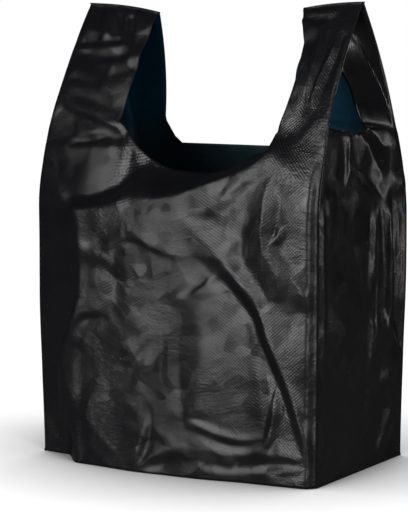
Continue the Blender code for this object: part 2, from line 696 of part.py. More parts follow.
def column_after(column, one_end, other_end):
    """A column's number when counted on between two ends, or None outside them."""
    low, high = min(one_end, other_end), max(one_end, other_end)
    for number in (column, column + STARTS["end"]):
        if low <= number <= high:
            return number
    return None


def handle_rise(ring):
    """How far up the handle a ring lies, from 0 at the cut to 1 at the seal."""
    return min(ring / (HANDLE_RINGS - 1), 1.0) ** RING_POWER


def lifted(start, across, ring):
    """The height of a handle's vertex, and the half depth of the bag there."""
    top = seal_top(across)
    height = top if ring == HANDLE_RINGS else blend(start, top - SEAL_HEIGHT, handle_rise(ring))
    return height, corner_depth(height, top)


def strap_point(side, front, place, ring):
    """A point of a strap, whose place runs from 1 at its outer fold down to its inner edge."""
    rise = handle_rise(ring)
    crotch = strap_edge(side, front, 0) / HALF_WIDTH
    from_fold = (1 - place) / (1 - crotch)
    across = side * blend(HALF_WIDTH, strap_edge(side, front, rise), from_fold)
    height, depth = lifted(cut_height("front" if front else "back", side * place), across, ring)
    if front:
        return front_point(side * place, across, height, depth)
    return back_point(side * place, across, height, depth)


def flap_point(side, front, place, ring):
    """A point of half a gusset beside its slot, whose place runs from 1 at its outer fold."""
    rise = handle_rise(ring)
    guide_x, guide_y = (FRONT_FLAP_X, FRONT_FLAP_Y) if front else (BACK_FLAP_X, BACK_FLAP_Y)
    from_fold = (1 - place) / (1 - SLOT_SHARE)
    across = blend(HALF_WIDTH, blend(HALF_WIDTH, seal_end(side), along(guide_x, rise)), from_fold)
    height, depth = lifted(SLOT_Z, across, ring)
    turned = FOLD_RADIUS * smooth(rise / FLAP_TURN)
    if place == 1:
        inwards = depth - turned
    else:
        edge = min(max(along(guide_y, rise) * depth, FLAP_Y), depth - 2 * turned)
        inwards = blend(depth - 2 * turned, edge, from_fold)
    return side * across, inwards * (-1 if front else 1), height


def make_tube(mesh):
    """Fills the mesh with the open tube, its floor and its handle straps, not yet laid in place."""
    column_layer = mesh.verts.layers.int.new("column")
    ring_layer = mesh.verts.layers.int.new("ring")
    count = STARTS["end"]
    bmesh.ops.create_cone(
        mesh, cap_ends=False, segments=count, radius1=1.0, radius2=1.0, depth=BODY_RINGS + BROW_RINGS
    )
    upright = [edge for edge in mesh.edges if abs(edge.verts[0].co.z - edge.verts[1].co.z) > 0.5]
    bmesh.ops.subdivide_edges(mesh, edges=upright, cuts=BODY_RINGS + BROW_RINGS - 1)
    lowest = min(vert.co.z for vert in mesh.verts)
    for vert in mesh.verts:
        turn = math.atan2(-vert.co.x, vert.co.y) / math.tau
        vert[column_layer] = round(turn * count) % count
        vert[ring_layer] = round(vert.co.z - lowest)
    top_ring = BODY_RINGS + BROW_RINGS
    for half in HALF_HANDLES:
        for step in range(HANDLE_RINGS):
            ring = top_ring + step
            edges = [
                edge
                for edge in mesh.edges
                if all(vert[ring_layer] == ring for vert in edge.verts)
                and all(column_after(vert[column_layer], half[2], half[4]) is not None for vert in edge.verts)
            ]
            grown = bmesh.ops.extrude_edge_only(mesh, edges=edges)
            for item in grown["geom"]:
                if isinstance(item, bmesh.types.BMVert):
                    item[ring_layer] = ring + 1
    for vert in mesh.verts:
        column, ring = vert[column_layer], vert[ring_layer]
        if ring <= top_ring:
            vert.co = shift_corner(body_point(column, ring))
        else:
            vert.co = shift_corner(handle_point(column, ring - top_ring))


def close_floor(mesh):
    """Fills the tube's lowest ring with a flat floor."""
    ring_layer = mesh.verts.layers.int["ring"]
    lowest = [edge for edge in mesh.edges if all(vert[ring_layer] == 0 for vert in edge.verts)]
    bmesh.ops.contextual_create(mesh, geom=lowest)
    bmesh.ops.recalc_face_normals(mesh, faces=mesh.faces)


def film_material():
    """Black film, slightly glossy."""
    material = bpy.data.materials.new("black film")
    material.use_nodes = True
    shader = material.node_tree.nodes["Principled BSDF"]
    shader.inputs["Base Color"].default_value = (0.012, 0.012, 0.014, 1.0)
    shader.inputs["Roughness"].default_value = 0.38
    shader.inputs["Metallic"].default_value = 0.0
    return material


def add_object(name, mesh, collection):
    """Makes an object from a finished mesh in the given collection."""
    data = bpy.data.meshes.new(name)
    mesh.to_mesh(data)
    mesh.free()
    thing = bpy.data.objects.new(name, data)
    collection.objects.link(thing)
    return thing


def grow_wall(bag):
    """Gives the film its thickness, outwards, and lays the underside flat on the ground."""
    wall = bag.modifiers.new("film wall", "SOLIDIFY")
    wall.thickness = FILM
    wall.offset = 1.0
    solid = bpy.data.meshes.new_from_object(bag.evaluated_get(bpy.context.evaluated_depsgraph_get()))
    bag.modifiers.clear()
    bag.data = solid
    solid.name = bag.name
    for vertex in solid.vertices:
        if vertex.co.z < FILM * 0.99:
            vertex.co.z = 0.0


def make_seal(side, collection):
    """The welded bar across the top of one handle, following its drooping edge."""
    mesh = bmesh.new()
    bmesh.ops.create_cube(mesh, size=1.0)
    lengthwise = [edge for edge in mesh.edges if abs(edge.verts[0].co.x - edge.verts[1].co.x) > 0.5]
    bmesh.ops.subdivide_edges(mesh, edges=lengthwise, cuts=SEAL_CUTS)
    inner, outer = seal_end(side) - SEAL_OVERHANG, HALF_WIDTH + FILM + SEAL_OVERHANG
    for vert in mesh.verts:
        across = blend(inner, outer, vert.co.x + 0.5)
        height = seal_top(across) + (SEAL_OVERHANG if vert.co.z > 0 else SEAL_OVERHANG - SEAL_HEIGHT)
        vert.co = (side * across, math.copysign(STRAP_Y + FILM + SEAL_OVERHANG, vert.co.y), height)
    bmesh.ops.recalc_face_normals(mesh, faces=mesh.faces)
    return add_object("seal right" if side > 0 else "seal left", mesh, collection)


def build():
    """Builds the bag in its own collection, with the welded bars as operands in another."""
    for thing in list(bpy.data.objects):
        bpy.data.objects.remove(thing, do_unlink=True)
    parts = bpy.data.collections.new("Plastic carrier bag")
    operands = bpy.data.collections.new("Seal bars")
    for collection in (parts, operands):
        bpy.context.scene.collection.children.link(collection)
    mesh = bmesh.new()
    make_tube(mesh)
    close_floor(mesh)
    bmesh.ops.translate(mesh, verts=mesh.verts, vec=(0.0, 0.0, FILM))
    bag = add_object("bag", mesh, parts)
    bag.data.materials.append(film_material())
    grow_wall(bag)
    for side in (-1, 1):
        seal = make_seal(side, operands)
        seal.hide_render = True
        seal.display_type = "WIRE"
        weld = bag.modifiers.new(seal.name, "BOOLEAN")
        weld.operation = "UNION"
        weld.solver = "EXACT"
        weld.object = seal


build()
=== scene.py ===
# %% [markdown]
# # A black carrier bag, standing open
# The real bag is one blown tube of thin film with a pleat in each side. It is welded across the bottom and
# across the top of its two handles, and it holds its shape only by its folds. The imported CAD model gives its
# size and its place, and this script dresses it: camera, light and floor first, then the film itself.

# %% Load the frame
import math

import bpy
import numpy as np
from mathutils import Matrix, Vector
from mathutils.geometry import delaunay_2d_cdt


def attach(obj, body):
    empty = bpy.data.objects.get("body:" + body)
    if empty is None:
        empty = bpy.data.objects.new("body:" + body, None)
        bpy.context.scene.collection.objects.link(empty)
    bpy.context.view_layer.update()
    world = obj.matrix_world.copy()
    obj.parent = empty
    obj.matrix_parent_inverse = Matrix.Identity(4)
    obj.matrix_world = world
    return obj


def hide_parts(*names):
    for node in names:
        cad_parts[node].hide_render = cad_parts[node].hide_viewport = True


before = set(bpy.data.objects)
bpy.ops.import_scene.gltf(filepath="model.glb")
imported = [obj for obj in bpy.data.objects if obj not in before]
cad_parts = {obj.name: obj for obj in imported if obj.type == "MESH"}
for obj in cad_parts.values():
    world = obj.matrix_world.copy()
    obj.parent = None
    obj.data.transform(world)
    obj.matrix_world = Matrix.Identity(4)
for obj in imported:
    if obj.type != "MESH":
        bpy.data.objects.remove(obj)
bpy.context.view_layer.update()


# %% [markdown]
# ## Camera, light and floor
# The bag is seen from its front right corner, a little above its middle, through a long lens. Black film
# shows almost nothing but the reflections of its lights. An even dome of light would make it flat and grey,
# so one large soft light stands where the front panel mirrors it, and the side gussets see only the dim
# surround and two slim strips.

# %% Camera
AZIMUTH = math.radians(30.9)
DISTANCE = 2.0
CAMERA_HEIGHT = 0.423
AIM_ACROSS, AIM_HEIGHT = -0.0174, 0.1957
across_view = Vector((math.cos(AZIMUTH), math.sin(AZIMUTH), 0.0))
towards_camera = Vector((math.sin(AZIMUTH), -math.cos(AZIMUTH), 0.0))
aim = across_view * AIM_ACROSS + Vector((0.0, 0.0, AIM_HEIGHT))
camera_data = bpy.data.cameras.new("camera")
camera_data.sensor_width = 36.0
camera_data.lens = 145.6
camera = bpy.data.objects.new("camera", camera_data)
bpy.context.scene.collection.objects.link(camera)
camera.location = towards_camera * DISTANCE + Vector((0.0, 0.0, CAMERA_HEIGHT))
camera.rotation_euler = (aim - camera.location).to_track_quat("-Z", "Y").to_euler()
bpy.context.scene.camera = camera
bpy.context.scene.view_settings.view_transform = "Standard"
print("camera at", [round(value, 3) for value in camera.location])


# %% Lights
def add_softbox(name, azimuth, height, distance, width, tall, power):
    """A rectangular soft light that looks at the middle of the bag, azimuth 0 being straight ahead of it."""
    data = bpy.data.lights.new(name, "AREA")
    data.shape = "RECTANGLE"
    data.size = width
    data.size_y = tall
    data.energy = power
    lamp = bpy.data.objects.new(name, data)
    bpy.context.scene.collection.objects.link(lamp)
    turn = math.radians(azimuth)
    lamp.location = (distance * math.sin(turn), -distance * math.cos(turn), height)
    lamp.rotation_euler = (Vector((0.0, 0.0, 0.2)) - lamp.location).to_track_quat("-Z", "Y").to_euler()
    return lamp


add_softbox("front softbox", -5, 0.85, 2.2, 1.0, 1.5, 38)
add_softbox("right softbox", 53, 0.6, 2.0, 0.25, 1.4, 14)
add_softbox("back strip", 128, 0.7, 1.8, 0.08, 1.4, 4)


# %% [markdown]
# A white room would shine in the black film, and a dark one would leave the picture grey. The surround and
# the floor are therefore white only where the camera looks straight at them, which Light Path tells, and dim
# for all that lights the bag or is mirrored in it. The floor's glow fades where the bag hides much of the sky
# from it, as Ambient Occlusion tells, and this paints a soft shadow round the bag's foot, on top of the real
# shadows that the lamps cast on the floor.

# %% Surround
world = bpy.data.worlds.new("studio")
bpy.context.scene.world = world
world.use_nodes = True
nodes, links = world.node_tree.nodes, world.node_tree.links
nodes.clear()
world_out = nodes.new("ShaderNodeOutputWorld")
dim = nodes.new("ShaderNodeBackground")
dim.inputs["Color"].default_value = (0.50, 0.56, 0.66, 1.0)
dim.inputs["Strength"].default_value = 0.022
white = nodes.new("ShaderNodeBackground")
white.inputs["Color"].default_value = (1.0, 1.0, 1.0, 1.0)
seen = nodes.new("ShaderNodeLightPath")
either = nodes.new("ShaderNodeMixShader")
links.new(seen.outputs["Is Camera Ray"], either.inputs["Fac"])
links.new(dim.outputs["Background"], either.inputs[1])
links.new(white.outputs["Background"], either.inputs[2])
links.new(either.outputs["Shader"], world_out.inputs["Surface"])
print("surround strength:", dim.inputs["Strength"].default_value)


# %% Floor
bpy.ops.object.select_all(action="DESELECT")
bpy.ops.mesh.primitive_plane_add(size=12.0, location=(0.0, 0.0, 0.0))
floor = bpy.context.active_object
floor.name = "floor"
paper = bpy.data.materials.new("pale floor")
paper.use_nodes = True
nodes, links = paper.node_tree.nodes, paper.node_tree.links
matt = nodes["Principled BSDF"]
matt.inputs["Roughness"].default_value = 0.9
matt.inputs["Specular IOR Level"].default_value = 0.1
seen = nodes.new("ShaderNodeLightPath")
shade = nodes.new("ShaderNodeMix")
shade.data_type = "RGBA"
shade.inputs["A"].default_value = (0.16, 0.16, 0.17, 1.0)
shade.inputs["B"].default_value = (0.55, 0.55, 0.56, 1.0)
links.new(seen.outputs["Is Camera Ray"], shade.inputs["Factor"])
links.new(shade.outputs["Result"], matt.inputs["Base Color"])
# painted shadow: the floor's glow for the camera fades near the bag, as Ambient Occlusion tells
glow = nodes.new("ShaderNodeEmission")
near = nodes.new("ShaderNodeAmbientOcclusion")
near.inputs["Distance"].default_value = 0.25
glow_under_painted_shadow = nodes.new("ShaderNodeMapRange")
glow_under_painted_shadow.inputs["From Min"].default_value = 0.42
links.new(near.outputs["AO"], glow_under_painted_shadow.inputs["Value"])
links.new(glow_under_painted_shadow.outputs[0], glow.inputs["Strength"])
nothing = nodes.new("ShaderNodeEmission")
nothing.inputs["Strength"].default_value = 0.0
either = nodes.new("ShaderNodeMixShader")
both = nodes.new("ShaderNodeAddShader")
links.new(seen.outputs["Is Camera Ray"], either.inputs["Fac"])
links.new(nothing.outputs["Emission"], either.inputs[1])
links.new(glow.outputs["Emission"], either.inputs[2])
links.new(matt.outputs["BSDF"], both.inputs[0])
links.new(either.outputs["Shader"], both.inputs[1])
links.new(both.outputs["Shader"], nodes["Material Output"].inputs["Surface"])
floor.data.materials.append(paper)
print("floor", floor.name)


# %% [markdown]
# ## The film, laid flat
# A bag like this is cut from a flat tube. It could be built panel by panel, but the joints would have to be
# closed again. So the film starts as one flat grid whose columns run round the tube and whose rows run up it.
# Each vertex keeps its column and row, which say where on the bag it belongs, and the stretches that show
# most have the most columns.

# %% Sizes and columns
WIDTH = 0.305
DEPTH = 0.175
HEIGHT = 0.440
# The bag narrows above its shoulder, from the front to the back
SHOULDER = 0.240
HALF_WIDTH = WIDTH / 2
HALF_DEPTH = DEPTH / 2
FILM = 0.0004
# Half the gap between the flaps of a handle, and between its straps
FLAP_Y = 0.0009
STRAP_Y = 0.0023
SEAL_HEIGHT = 0.002
SEAL_DROP = 0.009
# How far from the middle each strap's inner edge starts, at the mouth, and ends, at the weld
LEFT_CROTCH_X = 0.073
LEFT_SEAL_X = 0.072
RIGHT_CROTCH_X = 0.101
RIGHT_SEAL_X = 0.088
BACK_LEFT_CROTCH_X = 0.108
BACK_RIGHT_CROTCH_X = 0.076
# Heights at which the slots and the mouth are cut
SLOT_Z = 0.318
LEFT_CROTCH_Z = 0.328
RIGHT_CROTCH_Z = 0.322
BACK_CROTCH_Z = 0.324
BACK_RIM_Z = 0.299
SLOT_WIDTH = 0.026
SLOT_SHARE = SLOT_WIDTH / DEPTH
BODY_ROWS = 118
HANDLE_ROWS = 46
SEAL_ROWS = 3
ROWS = BODY_ROWS + HANDLE_ROWS
FLAP_COLUMNS = 30
FRONT, RIGHT, BACK, LEFT = range(4)

left_crotch = -LEFT_CROTCH_X / HALF_WIDTH
right_crotch = RIGHT_CROTCH_X / HALF_WIDTH
back_left = -BACK_LEFT_CROTCH_X / HALF_WIDTH
back_right = BACK_RIGHT_CROTCH_X / HALF_WIDTH
# Each stretch round the tube: its panel, its columns, and where it starts and ends on the panel
STRETCHES = [
    ("front left strap", FRONT, 34, -1, left_crotch),
    ("front mouth", FRONT, 76, left_crotch, right_crotch),
    ("front right strap", FRONT, 36, right_crotch, 1),
    ("right front flap", RIGHT, FLAP_COLUMNS, -1, -SLOT_SHARE),
    ("right slot", RIGHT, 8, -SLOT_SHARE, SLOT_SHARE),
    ("right back flap", RIGHT, FLAP_COLUMNS, SLOT_SHARE, 1),
    ("back right strap", BACK, 14, 1, back_right),
    ("back mouth", BACK, 26, back_right, back_left),
    ("back left strap", BACK, 10, back_left, -1),
    ("left back flap", LEFT, 8, 1, SLOT_SHARE),
    ("left slot", LEFT, 3, SLOT_SHARE, -SLOT_SHARE),
    ("left front flap", LEFT, 10, -SLOT_SHARE, -1),
]
column_panel, column_place, STARTS = [], [], {}
for name, panel, count, start, end in STRETCHES:
    STARTS[name] = len(column_panel)
    column_panel += [panel] * count
    column_place += [start + (end - start) * step / count for step in range(count)]
COLUMNS = len(column_panel)
column_panel.append(LEFT)
column_place.append(-1)
column_panel = np.array(column_panel)
column_place = np.array(column_place, float)
print("film grid:", COLUMNS, "columns and", ROWS, "rows")


# %% Smooth guides
def ease(value):
    """Runs from 0 to 1, slow at both ends, while the value runs from 0 to 1."""
    share = np.clip(value, 0.0, 1.0)
    return share * share * (3 - 2 * share)


def blend(start, end, share):
    """The value that lies the given share of the way from start to end."""
    return start + (end - start) * share


def along(guide, places):
    """Reads a guide of (place, value) pairs on a smooth curve through all of them."""
    at = np.array([place for place, value in guide], float)
    value = np.array([value for place, value in guide], float)
    places = np.clip(places, at[0], at[-1])
    gap = np.clip(np.searchsorted(at, places, side="right") - 1, 0, len(at) - 2)
    step = np.diff(at)
    slope = np.diff(value) / step
    tangent = np.zeros(len(at))
    same_way = slope[:-1] * slope[1:] > 0
    mean = (slope[:-1] * step[1:] + slope[1:] * step[:-1]) / (step[:-1] + step[1:])
    tangent[1:-1] = np.where(same_way, mean, 0)
    limit = 3 * np.minimum(np.abs(np.append(slope, slope[-1])), np.abs(np.append(slope[0], slope)))
    tangent = np.clip(tangent, -limit, limit)
    share = (places - at[gap]) / step[gap]
    square, cube = share**2, share**3
    return (
        value[gap] * (2 * cube - 3 * square + 1)
        + tangent[gap] * step[gap] * (cube - 2 * square + share)
        + value[gap + 1] * (3 * square - 2 * cube)
        + tangent[gap + 1] * step[gap] * (cube - square)
    )


halfway = float(along([(0, 0), (1, 1)], np.array([0.5]))[0])
print("halfway along a plain guide:", halfway)


# %% [markdown]
# ## The standing bag
# Such a bag could be dropped on the floor in a cloth simulation, but its folds would then fall anywhere. Here
# the film is bent into the standing bag by moving each vertex of the grid, so that the folds fall where the
# real ones do. Guides, which are smooth curves through a few chosen points, say how the panels bow, where the
# front folds back into its mouth and where the film is cut.

# %% Guides of the standing bag
# How far the front panel bows forward, from its left edge at -1 to its right edge at 1
FRONT_BOW = [(-1.0, 0.0290), (-0.66, 0.0278), (-0.5, 0.0260), (-0.37, 0.0260), (-0.18, 0.0262),
             (0.07, 0.0230), (0.29, 0.0185), (0.53, 0.0142), (0.72, 0.0115), (0.85, 0.0094), (0.93, 0.0077),
             (0.955, 0.0068), (1.0, 0.0)]
# The upright crease at the left of the front panel, all by height: its place, how far forward its foot
# stands, and how wide the step is that rises from it
LEFT_CREASE = [(0.0, -0.126), (0.028, -0.122), (0.076, -0.124), (0.111, -0.119), (0.131, -0.110),
               (0.156, -0.101), (0.193, -0.098), (0.225, -0.100), (0.240, -0.103), (0.257, -0.114),
               (0.285, -0.127), (0.32, -0.135)]
LEFT_FOOT = [(0.0, -0.002), (0.05, 0.000), (0.11, 0.004), (0.15, 0.011), (0.20, 0.015), (0.235, 0.013),
             (0.285, 0.0)]
LEFT_RISER = [(0.0, 0.090), (0.03, 0.055), (0.06, 0.026), (0.1, 0.012), (0.2, 0.009), (0.32, 0.009)]
# The brow, along which the front starts to lean back into the mouth, by place across the panel: its height,
# how far above it the lean is complete, at most, and how far back the film leans
BROW_Z = [(-1.0, 0.250), (-0.77, 0.246), (-0.63, 0.245), (-0.45, 0.249), (-0.34, 0.253), (-0.22, 0.257),
          (0.0, 0.260), (0.24, 0.272), (0.51, 0.288), (0.66, 0.300), (1.0, 0.262)]
BROW_SPAN = [(-1.0, 0.066), (-0.93, 0.066), (-0.80, 0.020), (-0.75, 0.013), (-0.64, 0.012), (-0.5, 0.015),
             (-0.36, 0.020), (-0.26, 0.034), (0.0, 0.042), (0.6, 0.060), (1.0, 0.060)]
BROW_LEAN = [(-0.6, 0.0), (-0.46, 0.001), (-0.25, 0.005), (-0.1, 0.016), (0.0, 0.028), (0.25, 0.028),
             (0.5, 0.010), (0.66, 0.0)]
# The cut edge of the mouth at the front, by place
FRONT_RIM_Z = [(-0.48, 0.328), (-0.42, 0.319), (-0.35, 0.309), (-0.23, 0.295), (-0.05, 0.282),
               (0.13, 0.281), (0.22, 0.284), (0.49, 0.300), (0.61, 0.307), (0.663, 0.322)]
# How far the right front strap's inner edge swings inwards, by the share of the handle's height
RIGHT_STRAP_SWING = [(0.0, 0.0), (0.2, 0.006), (0.45, 0.012), (0.68, 0.011), (0.85, 0.007), (1.0, 0.002)]
# Where the free edge of a gusset flap lies, by the share of the handle's height: how far it has moved from
# the outer fold to the weld's inner end, and how far from the middle it stands, as a share of the depth
FRONT_FLAP_X = [(0.0, 0.0), (0.07, 0.28), (0.16, 0.62), (0.4, 0.78), (0.7, 0.84), (1.0, 0.9)]
FRONT_FLAP_Y = [(0.0, 0.15), (0.07, 0.7), (0.16, 0.85), (0.5, 0.85), (1.0, 0.0)]
BACK_FLAP_X = [(0.0, 0.0), (0.06, 0.17), (0.12, 0.23), (0.2, 0.28), (0.38, 0.31), (0.52, 0.38), (0.78, 0.6),
               (1.0, 0.94)]
BACK_FLAP_Y = [(0.0, 0.15), (0.06, 0.36), (0.12, 0.38), (0.2, 0.38), (0.38, 0.24), (0.52, 0.05), (1.0, 0.0)]
# Where a sharp fold runs up the right back flap, as a share of the way from its outer fold to its free edge
FLAP_LINE = [(0.0, 0.1), (0.45, 0.29), (0.75, 0.475), (0.9, 0.65), (1.0, 0.8)]
BACK_BOW = 0.008
# The body narrows slowly at first and then faster
NARROWING = 1.8
# Share of the step at the left crease that rises at once
STEEP_SHARE = 0.7
# Over this height above the cut the straps come back from the lean of the brow
LEAN_FADE = 0.04
print("guides of the front:", len(FRONT_BOW) + len(LEFT_CREASE) + len(BROW_Z) + len(FRONT_RIM_Z), "points")


# %% Depth, weld and cut
def corner_depth(height, top):
    """Half the depth of the bag at a height: full below the shoulder, closed at the seal."""
    share = np.clip((height - SHOULDER) / (top - SEAL_HEIGHT - SHOULDER), 0.0, 1.0)
    return STRAP_Y + (HALF_DEPTH - STRAP_Y) * (1 - share**NARROWING)


def seal_top(across):
    """The height of a handle's welded top edge, which droops towards its inner end."""
    reach = np.clip((HALF_WIDTH - np.abs(across)) / (HALF_WIDTH - LEFT_SEAL_X), 0.0, 1.0)
    return HEIGHT - SEAL_DROP * reach**2


def cut_height(panel, place):
    """The height at which the mouth or a slot is cut, or where a handle begins."""
    cut = np.full(len(place), SLOT_Z)
    front, back = panel == FRONT, panel == BACK
    left_strap = front & (place < left_crotch)
    right_strap = front & (place > right_crotch)
    mouth = front & ~left_strap & ~right_strap
    cut[left_strap] = blend(SLOT_Z, LEFT_CROTCH_Z, (1 + place[left_strap]) / (1 + left_crotch))
    cut[right_strap] = blend(SLOT_Z, RIGHT_CROTCH_Z, (1 - place[right_strap]) / (1 - right_crotch))
    cut[mouth] = along(FRONT_RIM_Z, place[mouth])
    crotch = np.where(place > 0, back_right, -back_left)
    inner = back & (np.abs(place) <= crotch)
    outer = back & (np.abs(place) > crotch)
    drop = ease((1 - np.abs(place[inner]) / crotch[inner]) / 0.1)
    cut[inner] = blend(BACK_CROTCH_Z, BACK_RIM_Z, drop)
    cut[outer] = blend(SLOT_Z, BACK_CROTCH_Z, (1 - np.abs(place[outer])) / (1 - crotch[outer]))
    return cut


print("height of the weld's inner end in mm:", round(float(seal_top(LEFT_SEAL_X)) * 1000, 1))


# %% Corner folds
# How far a corner fold of the body stands off the plain box, to the side and to the front or back, by height:
# which corner it is, how far the shift reaches along and across the bag, and the two guides
CORNER_SHIFTS = [
    (-1, -1, 0.055, 0.06,
     [(0.0, -0.006), (0.08, -0.009), (0.16, -0.012), (0.25, -0.011), (0.32, -0.005), (0.40, 0.0)],
     [(0.0, 0.010), (0.1, 0.011), (0.2, 0.012), (0.28, 0.008), (0.35, 0.0)]),
    (1, 1, 0.06, 0.06,
     [(0.0, 0.0), (0.1, 0.002), (0.19, 0.0045), (0.25, 0.004), (0.30, 0.002), (0.34, 0.0)],
     [(0.0, 0.0), (0.35, 0.0)]),
]


def shift_corners(spot):
    """Moves the corner folds off the plain box, and the film near them with them."""
    moved = spot.copy()
    for side, end, reach_x, reach_y, guide_x, guide_y in CORNER_SHIFTS:
        near_x = np.clip(1 - (HALF_WIDTH - side * spot[:, 0]) / reach_x, 0.0, 1.0)
        near_y = np.clip(1 - (HALF_DEPTH - end * spot[:, 1]) / reach_y, 0.0, 1.0)
        moved[:, 0] += near_x * near_y * along(guide_x, spot[:, 2])
        moved[:, 1] += near_x * near_y * along(guide_y, spot[:, 2])
    return moved


print("shifted corner folds:", len(CORNER_SHIFTS))


# %% [markdown]
# ## Creases
# Film that was folded in a pack keeps its creases, and the film between them stays almost flat. A cloth
# simulation gives soft folds in places of its own, and sculpting by hand can't be repeated. Here each crease
# is therefore a line of points on its flat panel, in millimetres across, up and outwards, read from where the
# real film catches the light. The net that joins the lines gives flat facets with sharp edges.

# %% Folds and facets
def relief(folds, across, up):
    """How far a list of folds pushes points of a panel outwards, all in millimetres.

    A fold is its crest line, as (across, up, height) points, how wide its flanks are to the left and to the
    right of somebody who walks along it, and how sharp it is: 1 is a tent, 2 a thin ridge, 0 a soft swell.
    """
    total = np.zeros(len(across))
    for line, left, right, sharp in folds:
        reach = max(left, right)
        xs = [point[0] for point in line]
        ups = [point[1] for point in line]
        near = (across > min(xs) - reach) & (across < max(xs) + reach)
        near &= (up > min(ups) - reach) & (up < max(ups) + reach)
        if not near.any():
            continue
        x, z = across[near], up[near]
        nearest = np.full(len(x), np.inf)
        tall = np.zeros(len(x))
        turned = np.zeros(len(x))
        for (ax, az, ah), (bx, bz, bh) in zip(line, line[1:]):
            run, rise = bx - ax, bz - az
            share = np.clip(((x - ax) * run + (z - az) * rise) / (run * run + rise * rise), 0.0, 1.0)
            out_x, out_z = x - ax - run * share, z - az - rise * share
            distance = np.hypot(out_x, out_z)
            closer = distance < nearest
            nearest = np.where(closer, distance, nearest)
            tall = np.where(closer, ah + (bh - ah) * share, tall)
            turned = np.where(closer, run * out_z - rise * out_x, turned)
        flank = 1 - nearest / np.where(turned > 0, left, right)
        total[near] += tall * (ease(flank) if sharp == 0 else np.clip(flank, 0.0, 1.0) ** sharp)
    return total


def creased(creases, border, across, up):
    """How far a net of creases pushes points of a panel outwards, in millimetres.

    The crease lines and the border points, each (across, up, height), are joined into flat triangles, so the
    film between the creases is made of flat facets, as crumpled film is.
    """
    points = [point for crease in creases for point in crease] + border
    edges = []
    first = 0
    for crease in creases:
        edges += [(number, number + 1) for number in range(first, first + len(crease) - 1)]
        first += len(crease)
    flat = [Vector((x, z)) for x, z, height in points]
    spots, _, triangles, sources, _, _ = delaunay_2d_cdt(flat, edges, [], 0, 0.3)
    known = np.array([(x, z) for x, z, height in points], float)
    tall = np.array([height for x, z, height in points], float)
    heights = []
    for spot, source in zip(spots, sources):
        near = [number for number in source if number < len(points)]
        if not near:
            near = np.argsort(np.hypot(known[:, 0] - spot.x, known[:, 1] - spot.y))[:2]
        heights.append(float(np.mean(tall[near])))
    total = np.zeros(len(across))
    for a, b, c in triangles:
        (ax, az), (bx, bz), (cx, cz) = spots[a], spots[b], spots[c]
        double = (bx - ax) * (cz - az) - (cx - ax) * (bz - az)
        if abs(double) < 1e-9:
            continue
        share_b = ((across - ax) * (cz - az) - (cx - ax) * (up - az)) / double
        share_c = ((bx - ax) * (up - az) - (across - ax) * (bz - az)) / double
        inside = (share_b >= 0) & (share_c >= 0) & (share_b + share_c <= 1)
        level = heights[a] + (heights[b] - heights[a]) * share_b + (heights[c] - heights[a]) * share_c
        total[inside] = level[inside]
    return total


one_fold = [([(0, 0, 2), (10, 0, 2)], 5, 5, 1)]
print("height of a 2 mm fold on its crest:", float(relief(one_fold, np.array([5.0]), np.array([0.0]))[0]))


